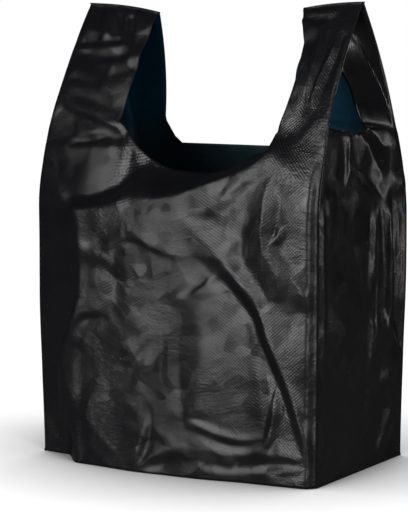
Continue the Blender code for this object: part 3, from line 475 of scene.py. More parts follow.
# %% Creases of the front panel
FRONT_CREASES = [
    # long crest from the middle to the lower right corner
    [(23, 241, 0.8), (43, 223, 2), (62, 205, 3.2), (71, 196, 5.5), (81, 186, 6.5), (93, 173, 7),
     (103, 158, 7), (109, 138, 6.4), (117, 120, 5.4), (126, 100, 4.4), (134, 80, 3.6), (141, 57, 2.8),
     (146, 38, 2), (150, 22, 1.2), (151, 13, 0)],
    # its foot
    [(12, 231, 0), (31, 210, 0), (51, 190, -0.3), (64, 186, -1.6), (72, 177, -2.6), (83, 164, -2.8),
     (93, 152, -2.8), (98, 134, -2.8), (107, 115, -2.8), (116, 95, -2.6), (124, 75, -2.2), (132, 52, -1.8),
     (139, 33, -1.2), (145, 17, -0.5)],
    # arch over the lower bulge
    [(58, 191, 0), (47, 181, 1.2), (38, 175, 1.2), (28, 169, 0)],
    # groove above that arch
    [(50, 192, -2.5), (40, 182, -2), (28, 174, -1)],
    # lower bulge
    [(66, 169, 1), (65, 142, 1.4), (70, 106, 1), (66, 68, -0.6)],
    # lower bulge right
    [(86, 143, 0.7), (93, 116, 1), (102, 93, 1.3), (103, 70, 1.4)],
    # upright groove left of the bulge
    [(26, 164, -0.4), (22, 148, -1.4), (20, 120, -1.7), (20, 92, -1.7), (22, 68, -1.4), (27, 63, -0.6)],
    # its right lip
    [(43, 165, 0.8), (42, 140, 1), (42, 112, 0.8), (40, 84, 0.8), (39, 65, 0.5)],
    # its left lip
    [(6, 166, 0.2), (5, 129, 0.5), (5, 92, 0.4), (6, 65, 0.3)],
    # fan crest
    [(94, 290, 1), (78, 277, 2.5), (62, 261, 2.5), (43, 250, 1.5), (27, 249, 0)],
    # fan foot
    [(112, 287, 0), (99, 281, -1), (84, 269, -1.2), (68, 252, -1), (46, 242, -1), (32, 242, 0)],
    # left groove of the dark facet
    [(96, 273, 0), (86, 252, -0.5), (81, 229, -1), (80, 209, -1)],
    # upright crest
    [(109, 280, 1), (104, 267, 3), (104, 251, 5), (103, 233, 5.5), (104, 216, 5)],
    # right foot of the upright crest
    [(114, 282, 0), (119, 263, -0.5), (117, 243, -0.5), (113, 229, -0.5), (107, 217, 4.5)],
    # crest down to the right
    [(104, 216, 5), (113, 205, 5), (119, 193, 5), (120, 180, 4)],
    # groove under the dark facet
    [(80, 209, -1), (90, 196, 0.5), (102, 181, 1.5), (109, 168, 2)],
    # crest to the small apex
    [(104, 216, 5), (119, 207, 3.5), (131, 195, 2.5), (143, 178, 3)],
    # line from the small apex
    [(143, 178, 3), (129, 174, 1.5), (116, 169, 1.5), (105, 164, 3)],
    # line below the small apex
    [(143, 178, 3), (137, 163, 0), (132, 150, 0)],
    # small ridge up from the apex
    [(106, 217, 4.5), (118, 229, 2.2), (126, 240, 1), (139, 259, 0)],
    # its far side
    [(117, 221, -0.5), (125, 227, -0.5), (139, 235, 0)],
    # right side groove
    [(126, 208, 0), (136, 203, -0.5), (144, 204, 0)],
    # upper swag groove
    [(25, 56, 0), (37, 57, -0.5), (56, 50, -1), (69, 47, -1), (83, 46, -1), (99, 49, -0.6), (103, 61, 0)],
    # upper swag crest
    [(29, 61, 1.2), (37, 53, 1.6), (54, 47, 1.6), (65, 42, 1.6), (77, 40, 1.6), (92, 40, 1.5),
     (105, 45, 1.2)],
    # swag groove
    [(26, 46, 0), (40, 44, -0.6), (53, 39, -1), (64, 36, -1.2), (76, 33, -1.2), (91, 35, -1),
     (100, 38, -0.4)],
    # lower swag crest
    [(32, 30, 0.6), (46, 30, 1), (58, 29, 1.4), (71, 27, 1.6), (88, 28, 1.8), (99, 33, 2), (108, 39, 2.4),
     (112, 51, 2.8), (115, 66, 2.8), (115, 79, 1.5)],
    # left foot of the pillar
    [(110, 78, 0), (106, 61, -0.5), (105, 50, -0.5)],
    # right foot of the pillar
    [(121, 76, 0), (120, 58, 0), (118, 44, -0.5), (109, 32, 0)],
    # first undercut crest
    [(-29, 3, 0.5), (-14, 14, 1.5), (-3, 20, 2.2), (17, 27, 2.6), (32, 30, 0.6)],
    # first undercut lower crest
    [(46, 30, 1), (61, 26, 1.8), (70, 20, 1.2), (74, 14, 0)],
    # first undercut groove
    [(-11, 7, -1), (12, 13, -1.8), (38, 16, -2), (59, 13, -1.5), (72, 12, -0.5)],
    # second undercut crest
    [(75, 25, 1.6), (98, 30, 2), (120, 29, 1.6), (137, 26, 1.2), (144, 24, 0.5)],
    # second undercut groove
    [(79, 14, -1), (101, 18, -1.8), (128, 21, -1.8), (142, 21, -1)],
    # hem crest
    [(44, 7, 0.5), (80, 8, 1.2), (104, 12, 1.5), (110, 11, 1.5), (126, 14, 1)],
    # left pocket crest
    [(-66, 210, 0.4), (-57, 210, 0.8), (-51, 215, 1.2), (-43, 219, 1.6), (-29, 223, 1.8), (-21, 220, 1.9),
     (-10, 214, 1.7), (0, 210, 1.4), (10, 207, 1.0), (18, 206, 0.4)],
    # left pocket foot
    [(-66, 207, -0.2), (-55, 207, -0.4), (-48, 212, -0.5), (-38, 217, -0.6), (-21, 216, -0.6),
     (-10, 211, -0.5), (5, 206, -0.3), (17, 203, 0)],
    # left pocket back
    [(-70, 233, 0), (-55, 230, -0.5), (-41, 238, 0.5), (-21, 244, 0.8), (0, 238, 0.6), (13, 226, 0.3)],
    # left pocket hollow
    [(-79, 216, -1.2), (-64, 219, -1.8), (-52, 224, -0.8)],
    # left upright groove
    [(-51, 205, -0.9), (-49, 185, -1.3), (-49, 162, -1.0), (-47, 143, -0.3)],
    # left upright crest
    [(-38, 212, 0.8), (-37, 196, 1.1), (-35, 172, 1.0), (-33, 150, 0.4)],
    # left block crease
    [(-93, 194, -0.6), (-76, 192, -0.8), (-62, 191, -0.8), (-52, 194, -0.8)],
    # left block top
    [(-96, 214, 0.5), (-79, 206, 1.2), (-61, 202, 1.2)],
    # left block low
    [(-89, 178, 0.8), (-64, 177, 0.8), (-62, 165, 0.5)],
    # arch lip
    [(-112, 117, 0), (-109, 129, 1), (-98, 141, 1.8), (-84, 147, 2), (-71, 149, 2), (-62, 158, 1)],
    # arch foot
    [(-104, 116, -0.5), (-101, 127, -1.6), (-89, 137, -2), (-78, 142, -2), (-68, 144, -1.6),
     (-59, 152, -0.5)],
    # arch bulge
    [(-87, 119, 1), (-77, 130, 1.6), (-64, 134, 1.6), (-54, 141, 0.6)],
    # lower left bulge
    [(-78, 103, 0.8), (-62, 109, 1), (-65, 66, 0.6), (-67, 27, 0.6)],
    # lower left groove
    [(-89, 113, -0.3), (-89, 82, -1.3), (-90, 43, -1.5), (-89, 9, -1)],
    # lower left lip
    [(-80, 91, 0.6), (-80, 45, 0.6), (-80, 10, 0.5)],
    # slanted crest
    [(-17, 129, 0.8), (-25, 117, 1), (-32, 105, 0.6)],
    # slanted foot
    [(-12, 125, 0), (-22, 111, -0.9), (-30, 98, -0.4)],
    # second slanted crest
    [(-14, 107, 0.6), (-21, 91, 1.2), (-30, 75, 0.6)],
    # its foot
    [(-9, 101, -0.2), (-15, 87, -0.8), (-23, 71, -0.4)],
    # wedge crest
    [(-14, 52, 0.5), (-17, 38, 2), (-23, 22, 2.4), (-29, 7, 1)],
    # wedge foot
    [(-10, 51, -0.4), (-12, 36, -1.4), (-16, 22, -1.6), (-21, 10, -1)],
    # wedge left
    [(-45, 44, -0.3), (-43, 24, -0.6), (-41, 8, -0.4)],
    # sliver
    [(-8, 53, 0), (-5, 43, 1.2), (-5, 33, 0.6)],
    # three small gathers at the corner
    [(149, 15, 0), (139, 16, 1), (127, 17, 0.8)],
    [(149, 14, 0), (139, 12, -0.8), (126, 11, -0.8)],
    [(150, 13, 0), (142, 9, 0.8), (135, 5, 0.6)],
]
# Points at which the film lies on its plain curve again: round the panel, beside the left crease and the
# right corner, and along the brow
FRONT_BORDER = [(x, 0, 0) for x in range(-150, 151, 30)]
FRONT_BORDER += [(x, z, 0) for x in (-152, 152) for z in range(20, 300, 20)]
FRONT_BORDER += [(-126, 40, 0), (-126, 80, 0), (-112, 130, 0), (-100, 170, 0), (-99, 200, 0), (-101, 230, 0)]
FRONT_BORDER += [(146, z, 0) for z in range(60, 261, 40)]
FRONT_BORDER += [(-120, 262, 0), (-95, 250, 0), (-60, 255, 0), (-30, 260, 0), (0, 266, 0), (30, 278, 0),
                 (60, 290, 0), (90, 303, 0), (120, 300, 0), (140, 290, 0)]
FRONT_FOLDS = [
    # groove at the middle height
    ([(5, 136, 0), (4, 120, -1.0), (3, 100, -1.0), (3, 84, 0)], 3, 3, 1),
    # broad swell of the lower panel
    ([(50, 200, 0), (46, 170, 3), (44, 110, 5), (42, 20, 4)], 50, 50, 0),
]
print("front panel:", len(FRONT_CREASES), "creases and", len(FRONT_FOLDS), "folds")


# %% Creases of the left strap and shoulder
LEFT_STRAP_CREASES = [
    # fold strip top
    [(-137, 345, 1.6), (-113, 338, 3.2), (-97, 333, 3.4), (-87, 330, 3.2), (-79, 328, 2.6)],
    # fold strip lower edge
    [(-141, 341, 0.6), (-127, 336, 2), (-112, 331.5, 2.4), (-95, 326.5, 2.4), (-83, 323.5, 2.2),
     (-75, 321.5, 1.6)],
    # recess under the strip
    [(-139, 338, -2.4), (-126, 332.5, -2.2), (-111, 328, -1.8), (-94, 323, -1.4), (-82, 320, -1.4),
     (-71, 317.5, -1.2)],
    # arch crest
    [(-124, 309, 0), (-112, 315, 1.4), (-103, 316.5, 1.6), (-96, 315, 0)],
    # arch foot
    [(-116, 306, -1.6), (-103, 308, -2.8), (-93, 310, -3.4), (-80, 312, -3.6), (-66, 314, -3)],
    # broad facet top
    [(-126, 301, 5.2), (-97, 303, 3.4), (-64, 304, 1.2)],
    # broad facet foot
    [(-120, 268, 3), (-108, 260, 4.4), (-97, 259, 3.4), (-80, 264, 2.4), (-67, 270, 1.2), (-62, 286, 0.9)],
    # dark wedge under it
    [(-97, 247, -0.3), (-80, 251, -0.8), (-66, 256, -1), (-52, 254, -0.5)],
    # facet right edge
    [(-60, 303, 0.6), (-61, 290, 0.4)],
    # groove beside it
    [(-56, 300, -1.5), (-56, 288, -1.8), (-60, 274, -1.5)],
    # crumpled patch
    [(-50, 300, 0.8), (-42, 287, 1.0), (-44, 276, 0.5)],
    # dark wedge beside the streak
    [(-34, 262, -0.5), (-34, 271, -1.2), (-35, 280, -1.4)],
    # bright streak
    [(-38, 290, 0.5), (-28, 288, 1.2), (-20, 284, 0.6)],
    # light band top
    [(-141, 413, 1.8), (-120, 410, 2), (-97, 407, 1.6)],
    # light band foot
    [(-148, 399, -0.4), (-127, 400, -1.4), (-112, 402, -1.4), (-100, 404, -0.8)],
    # triangle crest
    [(-149, 396, 1), (-123, 398, 1.5), (-93, 401, 1.2)],
    # triangle foot
    [(-134, 391, -0.8), (-117, 387, -1.4), (-101, 386, -1.4), (-88, 390, -0.8)],
    # dark crease
    [(-151, 396, 0), (-137, 391, -0.8), (-124, 384, -1), (-111, 374, -0.8), (-101, 366, 0)],
    # patch below
    [(-113, 382, 0), (-99, 382, 0), (-90, 384, 0)],
    # patch foot
    [(-113, 370, -0.5), (-95, 369, -0.5), (-80, 371, -0.3)],
    # facet by the edge
    [(-85, 387, 1.4), (-81, 389, 1.6), (-73, 389, 1.4)],
    # facet by the edge foot
    [(-83, 375, -0.6), (-78, 376, -1), (-72, 377, -1)],
    # first ripple
    [(-140, 375, 0.8), (-124, 369, 0.6), (-112, 362, 0)],
    # its foot
    [(-139, 368, -0.6), (-122, 363, -0.5)],
    # second ripple
    [(-148, 362, 0), (-129, 358, 0.8), (-110, 352, 0.7), (-93, 347, 0.4)],
    # its foot
    [(-147, 356, 0), (-128, 350, -0.7), (-108, 346, -0.6), (-92, 340, -0.3)],
    # third ripple
    [(-93, 358, 0.6), (-85, 347, 0.6), (-83, 338, 0.3)],
    # first pleat
    [(-144, 435, 1), (-139, 424, 2), (-132, 412, 1)],
    # its groove
    [(-140, 435, -0.8), (-135, 424, -1.4), (-126, 410, -0.8)],
    # second pleat
    [(-136, 434, 1), (-126, 424, 2), (-115, 410, 1)],
    # its groove
    [(-132, 434, -0.8), (-122, 424, -1.5), (-110, 409, -0.8)],
    # third pleat
    [(-127, 434, 1), (-116, 424, 1.8), (-105, 410, 0.8)],
    # its groove
    [(-120, 434, -0.8), (-110, 425, -1.4), (-100, 412, -0.6)],
    # fourth pleat
    [(-113, 433, 1), (-104, 431, 1.4), (-93, 428, 1)],
    # upright pleat crest
    [(-103, 424, 1.8), (-98, 412, 2.2), (-93, 399, 1)],
    # upright pleat groove
    [(-98, 425, -1), (-94, 412, -1.6), (-89, 397, -1)],
    # upright pleat far side
    [(-90, 422, 1), (-87, 412, 0.8), (-85, 400, 0.4)],
    # edge pleat
    [(-74, 418, 0.8), (-79, 413, 0.8), (-83, 409, 0.4)],
    # edge pleat groove
    [(-72, 411, -0.4), (-77, 407, -0.6), (-82, 400, -0.4)],
]
print("left strap:", len(LEFT_STRAP_CREASES), "creases")


# %% Creases of the right strap
RIGHT_STRAP_CREASES = [
    # top facet left
    [(93, 430, 1.2), (106, 431, 1.8), (122, 432, 1.2)],
    # top facet groove
    [(95, 425, -0.8), (105, 423, -1.4), (115, 421, -1.2)],
    # second facet
    [(96, 422, 1.4), (106, 420, 1.8), (115, 418, 1.4)],
    # second facet foot
    [(98, 404, -1.2), (105, 402, -1.8), (113, 403, -1.6), (118, 406, -0.6)],
    # stripe crest
    [(116, 420, 1.6), (121, 403, 1.6), (122, 387, 1.6), (121, 366, 1.4), (121, 350, 1.2), (114, 338, 0.8),
     (108, 327, 0.5)],
    # band groove
    [(124, 423, -0.8), (127, 404, -1), (129, 385, -1.2), (126, 367, -1.2), (126, 350, -1.2), (120, 335, -1),
     (113, 320, -0.8)],
    # thin ridge
    [(139, 414, 0.6), (138, 398, 1.4), (133, 382, 1.4), (130, 368, 1.2), (127, 352, 0.6)],
    # ridge far side
    [(143, 407, -0.4), (143, 391, -0.8), (140, 373, -0.8), (138, 359, -0.6)],
    # outer strip
    [(148, 404, 0.8), (149, 387, 0.8), (149, 368, 0.8), (149, 345, 0.8)],
    # dark band foot
    [(113, 309, 0.6), (126, 315, 1.2), (135, 327, 1.4), (146, 338, 0.8)],
    # dark band mid
    [(110, 317, -0.5), (123, 325, -1), (134, 339, -1)],
]
STRAP_BORDER = [(side * x, 434, 0) for side in (-1, 1) for x in range(72, 153, 16)]
STRAP_BORDER += [(side * x, z, 0) for side in (-1, 1) for x in (62, 154) for z in range(250, 434, 18)]
print("right strap:", len(RIGHT_STRAP_CREASES), "creases")


# %% Creases of the gussets
GUSSET_CREASES = [
    # light strip beside the front fold
    [(-76, 10, 0), (-75, 24, 2), (-76, 120, 2.2), (-77, 180, 2.2), (-78, 240, 1.8), (-79, 262, 0)],
    # its far side
    [(-70, 16, 0), (-69, 120, -0.2), (-71, 200, -0.2), (-73, 245, 0)],
    # pocket rim
    [(-34, 321, 3), (-33, 305, 3), (-32, 289, 2.5), (-7, 276, 1.5), (16, 264, 1.5), (41, 253, 1),
     (57, 262, 0)],
    # pocket lip
    [(-24, 322, -11), (0, 322, -14), (20, 322, -12)],
    # pocket floor
    [(-25, 304, -8), (-24, 293, -5), (-2, 285, -5), (18, 275, -5), (36, 265, -4)],
    # pocket right
    [(39, 310, 0), (50, 296, -1), (55, 280, -1), (55, 268, 0)],
    # pocket right floor
    [(30, 309, -8), (40, 294, -7), (47, 278, -4)],
    # wedge
    [(22, 321, -4), (30, 316, -2), (37, 312, 0)],
    # rim left foot
    [(-51, 316, 0), (-42, 304, 0), (-37, 291, 0)],
    # small facet
    [(44, 274, -3), (50, 275, -1.5), (58, 279, 0)],
    # light facet top
    [(45, 305, 1), (59, 306, 3), (72, 307, 4)],
    # light facet foot
    [(58, 278, 0), (71, 271, 2), (80, 267, 3)],
    # back groove
    [(55, 267, 0), (59, 253, -2), (62, 214, -3), (67, 175, -3), (68, 136, -2.5), (75, 108, -1), (79, 102, 0)],
    # long highlight crest
    [(44, 251, 1), (52, 239, 2.5), (55, 215, 3), (58, 186, 3), (58, 157, 2.5), (59, 135, 2)],
    # long highlight foot
    [(34, 249, 0), (42, 216, -0.5), (45, 177, -0.5), (46, 148, -0.5)],
    # bright patch
    [(59, 132, 2), (72, 111, 4), (79, 101, 3.5)],
    # bright patch foot
    [(39, 89, -1), (60, 92, 0), (82, 99, 1)],
    # first upright crest
    [(25, 244, 0), (26, 232, 1.4), (24, 213, 1.4), (24, 189, 1.2), (22, 172, 0)],
    # its foot
    [(18, 243, -0.6), (17, 213, -0.8), (13, 175, -0.6)],
    # second upright crest
    [(21, 144, 0), (21, 132, 1.2), (21, 118, 1), (20, 99, 0.4)],
    # its foot
    [(15, 142, -0.5), (16, 119, -0.6)],
    # third upright crest
    [(17, 90, 0), (16, 66, 1.2), (17, 37, 1.2), (17, 19, 0)],
    # its foot
    [(8, 86, -0.5), (7, 48, -0.6), (8, 24, -0.4)],
    # diagonal ridge
    [(10, 164, 0), (-10, 151, 1), (-29, 137, 1.2), (-47, 123, 1), (-64, 105, 0)],
    # diagonal foot
    [(17, 154, -0.5), (-4, 141, -0.8), (-27, 127, -0.8), (-46, 108, -0.5)],
    # first crinkle ridge
    [(-74, 285, 0), (-56, 279, 1), (-41, 269, 1), (-27, 258, 0)],
    # its foot
    [(-76, 279, 0), (-58, 271, -0.8), (-42, 261, -0.6)],
    # second crinkle ridge
    [(-72, 308, 0.3), (-59, 300, 0.9), (-47, 292, 0.3)],
    # third crinkle ridge
    [(-79, 259, 0), (-60, 254, 0.8), (-36, 254, 0)],
    # low crease
    [(49, 75, 0), (65, 53, 1.6), (57, 40, 1.6), (46, 22, 1), (36, 6, 0)],
    # low crease foot
    [(39, 72, -0.6), (48, 51, -1), (38, 29, -1), (30, 10, -0.4)],
    # second low crease
    [(78, 68, 0), (74, 47, 1), (66, 24, 1), (58, 8, 0)],
    # its foot
    [(67, 63, -0.6), (61, 34, -1), (53, 11, -0.4)],
    # low wrinkle
    [(39, 80, 0), (54, 80, 1), (71, 79, 0)],
]
GUSSET_BORDER = [(y, 0, 0) for y in range(-87, 88, 25)]
GUSSET_BORDER += [(y, z, 0) for y in (-87, 87) for z in range(20, 330, 20)]
GUSSET_BORDER += [(-60, 322, 0), (60, 322, 0)]
# Sharp lines up the right gusset, as (up, across, height), drawn by moving the nearest column onto each
COLUMN_STEP = (1 - SLOT_SHARE) / FLAP_COLUMNS
GUSSET_LINES = [
    [(12, 31, 0), (30, 28, 0.7), (120, 29, 0.7), (150, 30, 0)],
    [(128, 34, 0), (150, 33, 0.8), (225, 34, 0.8), (250, 32, 0)],
    [(110, 57, 0), (130, 54, 0.9), (190, 52, 1.0), (240, 52, 0.9), (262, 46, 0)],
    [(118, 74, 0), (140, 73, 0.7), (230, 72, 0.7), (255, 70, 0)],
]
print("gussets:", len(GUSSET_CREASES), "creases and", len(GUSSET_LINES), "sharp lines")


# %% [markdown]
# ## From the flat film to the bag
# Each panel has a function that gives the places of its points: the plain shape of the opened tube, then the
# guides, and then the creases, which push the film outwards. Above the mouth the four panels part into four
# straps and four flaps, which draw together towards the weld at the top of each handle.

# %% Front and back
# Share of the half width over which the creases fade out towards a corner fold
CREASE_FADE = 0.045
# A strap's creases are higher above this height, by this share
STRAP_Z = 0.345
STRAP_EXTRA = 0.9
# How deep a strap's grooves may be, as a share of the room behind the strap
GROOVE_SHARE = 0.45


def front_point(place, across, height, depth, cut):
    """Points of the front panel or of a front strap."""
    crease, foot = along(LEFT_CREASE, height), along(LEFT_FOOT, height)
    flat = foot * (place * HALF_WIDTH + HALF_WIDTH) / (crease + HALF_WIDTH)
    riser = np.clip((place * HALF_WIDTH - crease) / along(LEFT_RISER, height), 0.0, 1.0)
    rise = STEEP_SHARE * ease(riser * 3) + (1 - STEEP_SHARE) * riser
    bow = np.where(riser > 0, blend(foot, along(FRONT_BOW, place), rise), flat)
    brow = along(BROW_Z, place)
    lean = ease((height - brow) / np.minimum(cut - brow, along(BROW_SPAN, place)))
    set_back = along(BROW_LEAN, place) * lean * (1 - ease((height - cut) / LEAN_FADE))
    folds = relief(FRONT_FOLDS, across * 1000, height * 1000)
    folds += creased(FRONT_CREASES, FRONT_BORDER, across * 1000, height * 1000)
    folds *= ease((1 - np.abs(place)) / CREASE_FADE) / 1000
    creases = LEFT_STRAP_CREASES + RIGHT_STRAP_CREASES
    straps = creased(creases, STRAP_BORDER, across * 1000, height * 1000) / 1000
    straps *= 1 + STRAP_EXTRA * ease((height - STRAP_Z) / 0.02)
    straps = np.maximum(straps, -GROOVE_SHARE * (depth - FLAP_Y))
    outwards = depth + (bow + folds) * (1 - lean) + straps
    return np.column_stack([across, set_back - outwards, height])


def back_point(place, across, height, depth):
    """Points of the back panel or of a back strap."""
    bow = BACK_BOW * (1 - place * place)
    above = ease((height - SHOULDER) / (BACK_RIM_Z - SHOULDER))
    return np.column_stack([across, depth + bow * (1 - above), height])


print("bow of the back in mm:", BACK_BOW * 1000)


# %% Gussets
def gusset_point(side, place, height, depth):
    """Points of a gusset below its slot."""
    lines = np.zeros(len(place))
    if side > 0:
        for line in GUSSET_LINES:
            ups = [up for up, across, tall in line]
            crest = np.interp(height * 1000, ups, [across for up, across, tall in line]) / 1000 / HALF_DEPTH
            tall = np.interp(height * 1000, ups, [tall for up, across, tall in line], left=0, right=0) / 1000
            on_line = (np.abs(place - crest) < 0.5 * COLUMN_STEP) & (tall > 0)
            place = np.where(on_line, crest, place)
            lines += np.where(on_line, tall, 0.0)
    folds = creased(GUSSET_CREASES, GUSSET_BORDER, place * HALF_DEPTH * 1000, height * 1000) / 1000
    return np.column_stack([side * (HALF_WIDTH + folds + lines), place * depth, height])


print("gusset columns are", round(COLUMN_STEP * HALF_DEPTH * 1000, 2), "mm apart")


# %% Handles
def strap_edge(side, front, rise):
    """The place of a strap's inner edge, at a share of the handle's height."""
    seal_x = LEFT_SEAL_X if side < 0 else RIGHT_SEAL_X
    if not front:
        return blend(BACK_LEFT_CROTCH_X if side < 0 else BACK_RIGHT_CROTCH_X, seal_x, rise)
    if side < 0:
        return blend(LEFT_CROTCH_X, LEFT_SEAL_X, rise)
    return blend(RIGHT_CROTCH_X, RIGHT_SEAL_X, rise) + along(RIGHT_STRAP_SWING, rise)


def handle_rise(step):
    """How far up the handle a row lies, from 0 at the cut to 1 at the seal."""
    return np.minimum(step / (HANDLE_ROWS - SEAL_ROWS), 1.0)


def lifted(start, across, step):
    """The height of points of a handle, and the half depth of the bag there."""
    top = seal_top(across)
    rise = handle_rise(step)
    over = np.clip((step - (HANDLE_ROWS - SEAL_ROWS)) / SEAL_ROWS, 0.0, 1.0)
    height = blend(start, top - SEAL_HEIGHT, rise) + SEAL_HEIGHT * over
    return height, corner_depth(height, top)


def strap_point(side, front, place, step):
    """Points of a strap, whose place runs from 1 at its outer fold down to its inner edge."""
    rise = handle_rise(step)
    crotch = float(strap_edge(side, front, np.zeros(1))[0]) / HALF_WIDTH
    from_fold = (1 - place) / (1 - crotch)
    across = side * blend(HALF_WIDTH, strap_edge(side, front, rise), from_fold)
    cut = cut_height(np.full(len(place), FRONT if front else BACK), side * np.maximum(place, crotch + 1e-9))
    height, depth = lifted(cut, across, step)
    if front:
        return front_point(side * place, across, height, depth, cut)
    return back_point(side * place, across, height, depth)


# A flap keeps clear of the strap that covers it, and is tucked in a little behind its outer fold
FLAP_CLEARANCE = 0.0014
TUCK = 0.0026
# The right back flap has a sharp ridge up it, and its last column is curled in
RIDGE = 0.0016
CURL = 0.0014
LAST_COLUMN = 0.985


def flap_point(side, front, place, step):
    """Points of half a gusset beside its slot, whose place runs from 1 at its outer fold."""
    rise = handle_rise(step)
    guide_x, guide_y = (FRONT_FLAP_X, FRONT_FLAP_Y) if front else (BACK_FLAP_X, BACK_FLAP_Y)
    seal_x = LEFT_SEAL_X if side < 0 else RIGHT_SEAL_X
    from_fold = (1 - place) / (1 - SLOT_SHARE)
    across = blend(HALF_WIDTH, blend(HALF_WIDTH, seal_x, along(guide_x, rise)), from_fold)
    height, depth = lifted(np.full(len(place), SLOT_Z), across, step)
    edge = np.clip(along(guide_y, rise) * depth, FLAP_Y, depth - FLAP_CLEARANCE)
    tucked = np.minimum(TUCK, 0.5 * (depth - FLAP_Y)) * ease(from_fold / 0.06) * ease(rise / 0.05)
    inwards = np.maximum(blend(depth, edge, from_fold) - tucked, FLAP_Y)
    if side > 0 and not front:
        # a sharp fold runs up the flap from its outer fold, and its free edge curls in
        line = along(FLAP_LINE, rise)
        beside = np.abs(from_fold - line) * FLAP_COLUMNS
        snapped = np.where(beside < 0.5, line, from_fold)
        across = blend(HALF_WIDTH, blend(HALF_WIDTH, seal_x, along(guide_x, rise)), snapped)
        inwards = np.maximum(blend(depth, edge, snapped) - tucked, FLAP_Y)
        ridge = np.where(beside < 0.5, RIDGE, 0.0)
        ridge = ridge * ease((rise - 0.02) / 0.1) * ease((1 - rise) / 0.1)
        curl = np.where(from_fold > LAST_COLUMN, CURL, 0.0)
        curl = curl * ease((rise - 0.05) / 0.15) * ease((0.75 - rise) / 0.1)
        across = across + ridge - curl
    return np.column_stack([side * across, inwards * (-1 if front else 1), height])


print("rows in each handle:", HANDLE_ROWS)


# %% The whole film
def lay_film(column, row):
    """Where the vertices of the film lie on the standing bag, by their columns and rows."""
    panel, place = column_panel[column], column_place[column]
    spot = np.zeros((len(column), 3))
    cut = cut_height(panel, place)
    body = row <= BODY_ROWS
    height = cut * np.minimum(row / BODY_ROWS, 1.0)
    depth = corner_depth(height, np.full(len(height), HEIGHT))
    pick = body & (panel == FRONT)
    spot[pick] = front_point(place[pick], place[pick] * HALF_WIDTH, height[pick], depth[pick], cut[pick])
    pick = body & (panel == BACK)
    spot[pick] = back_point(place[pick], place[pick] * HALF_WIDTH, height[pick], depth[pick])
    for number, side in ((RIGHT, 1), (LEFT, -1)):
        pick = body & (panel == number)
        spot[pick] = gusset_point(side, place[pick], height[pick], depth[pick])
    step = row - BODY_ROWS
    for side, front, on_front in ((1, True, FRONT), (-1, True, FRONT), (1, False, BACK), (-1, False, BACK)):
        on_strap = ~body & (panel == on_front) & (place * side > 0)
        spot[on_strap] = strap_point(side, front, np.abs(place[on_strap]), step[on_strap])
        towards = -1 if front else 1
        on_flap = ~body & (panel == (RIGHT if side > 0 else LEFT)) & (place * towards > 0)
        spot[on_flap] = flap_point(side, front, np.abs(place[on_flap]), step[on_flap])
    return spot


print("columns on each panel:", [int((column_panel == panel).sum()) for panel in (FRONT, RIGHT, BACK, LEFT)])


# %% [markdown]
# ## The mesh of the film
# A plane with that many columns and rows is bent to the places that the functions above give. Then the faces
# of the mouth and the slots are deleted, as the real film is punched out, the seam of the tube is merged, and
# the foot is closed. The vertices also keep what the materials have to know: the place on the film, whether it
# is a gusset, and where the patterns have to fade.

# %% The bent grid
bpy.ops.object.select_all(action="DESELECT")
bpy.ops.mesh.primitive_grid_add(
    x_subdivisions=COLUMNS, y_subdivisions=ROWS, size=1.0, location=(0.0, 0.0, 0.0)
)
film = bpy.context.active_object
film.name = "bag_film"
mesh = film.data
number = np.arange(len(mesh.vertices))
column, row = number % (COLUMNS + 1), number // (COLUMNS + 1)
spot = shift_corners(lay_film(column, row))
spot[:, 2] += FILM
print("bent grid of", len(spot), "vertices")


# %% Round the facets
# One pass of smoothing rounds the facets' edges off, except along the film's cut edges
CUTS = ("front mouth", "right slot", "back mouth", "left slot")


def stretch_columns(name):
    """The first and last column of a stretch."""
    names = [entry[0] for entry in STRETCHES]
    place = names.index(name)
    end = STARTS[names[place + 1]] if place + 1 < len(names) else COLUMNS
    return STARTS[name], end


openings = [stretch_columns(name) for name in CUTS]
# the tube closes on itself, so its first and last columns look across the seam
sheet = spot.reshape(ROWS + 1, COLUMNS + 1, 3)
there = np.ones((ROWS + 1, COLUMNS + 1), bool)
for first, last in openings:
    there[BODY_ROWS + 1:, first + 1:last] = False
padded = np.concatenate([sheet[:, -2:-1], sheet, sheet[:, 1:2]], axis=1)
solid = np.concatenate([there[:, -2:-1], there, there[:, 1:2]], axis=1)
inner = np.zeros_like(there)
inner[1:-1] = (there[:-2] & there[2:] & solid[1:-1, :-2] & solid[1:-1, 2:] & there[1:-1])
mean = sheet.copy()
mean[1:-1] = (sheet[:-2] + sheet[2:] + padded[1:-1, :-2] + padded[1:-1, 2:]) / 4
sheet = np.where(inner[..., None], (sheet + mean) / 2, sheet)
mesh.vertices.foreach_set("co", sheet.ravel())
print("openings, as columns:", openings)


# %% Values for the materials
def keep_value(name, value):
    """Keeps one number for each vertex of the film under a name that the materials can read."""
    layer = mesh.attributes.new(name, "FLOAT", "POINT")
    layer.data.foreach_set("value", value)


# the film's own coordinates, in metres round the tube and up it, for patterns that follow the film
half_span = np.where((column_panel == FRONT) | (column_panel == BACK), HALF_WIDTH, HALF_DEPTH)
offset = {FRONT: 0.0, RIGHT: 0.24, BACK: 0.48, LEFT: 0.72}
round_place = np.array([offset[panel] for panel in column_panel]) + column_place * half_span
film_place = np.column_stack([round_place[column], row / ROWS * HEIGHT, np.zeros(len(number))])
layer = mesh.attributes.new("film_place", "FLOAT_VECTOR", "POINT")
layer.data.foreach_set("vector", film_place.ravel())

on_side = ((column_panel == RIGHT) | (column_panel == LEFT)).astype(float)[column]
keep_value("side_panel", on_side)
# the crumple is calm at the top of a gusset and on its flaps, and the emboss fades beside the corner folds
keep_value("calm", on_side * ease((row / BODY_ROWS - 0.86) / 0.14))
keep_value("folded", (1 - on_side) * ease((np.abs(column_place[column]) - 0.90) / 0.04))
print("film vertices:", len(mesh.vertices), "with", len(mesh.attributes), "attributes")


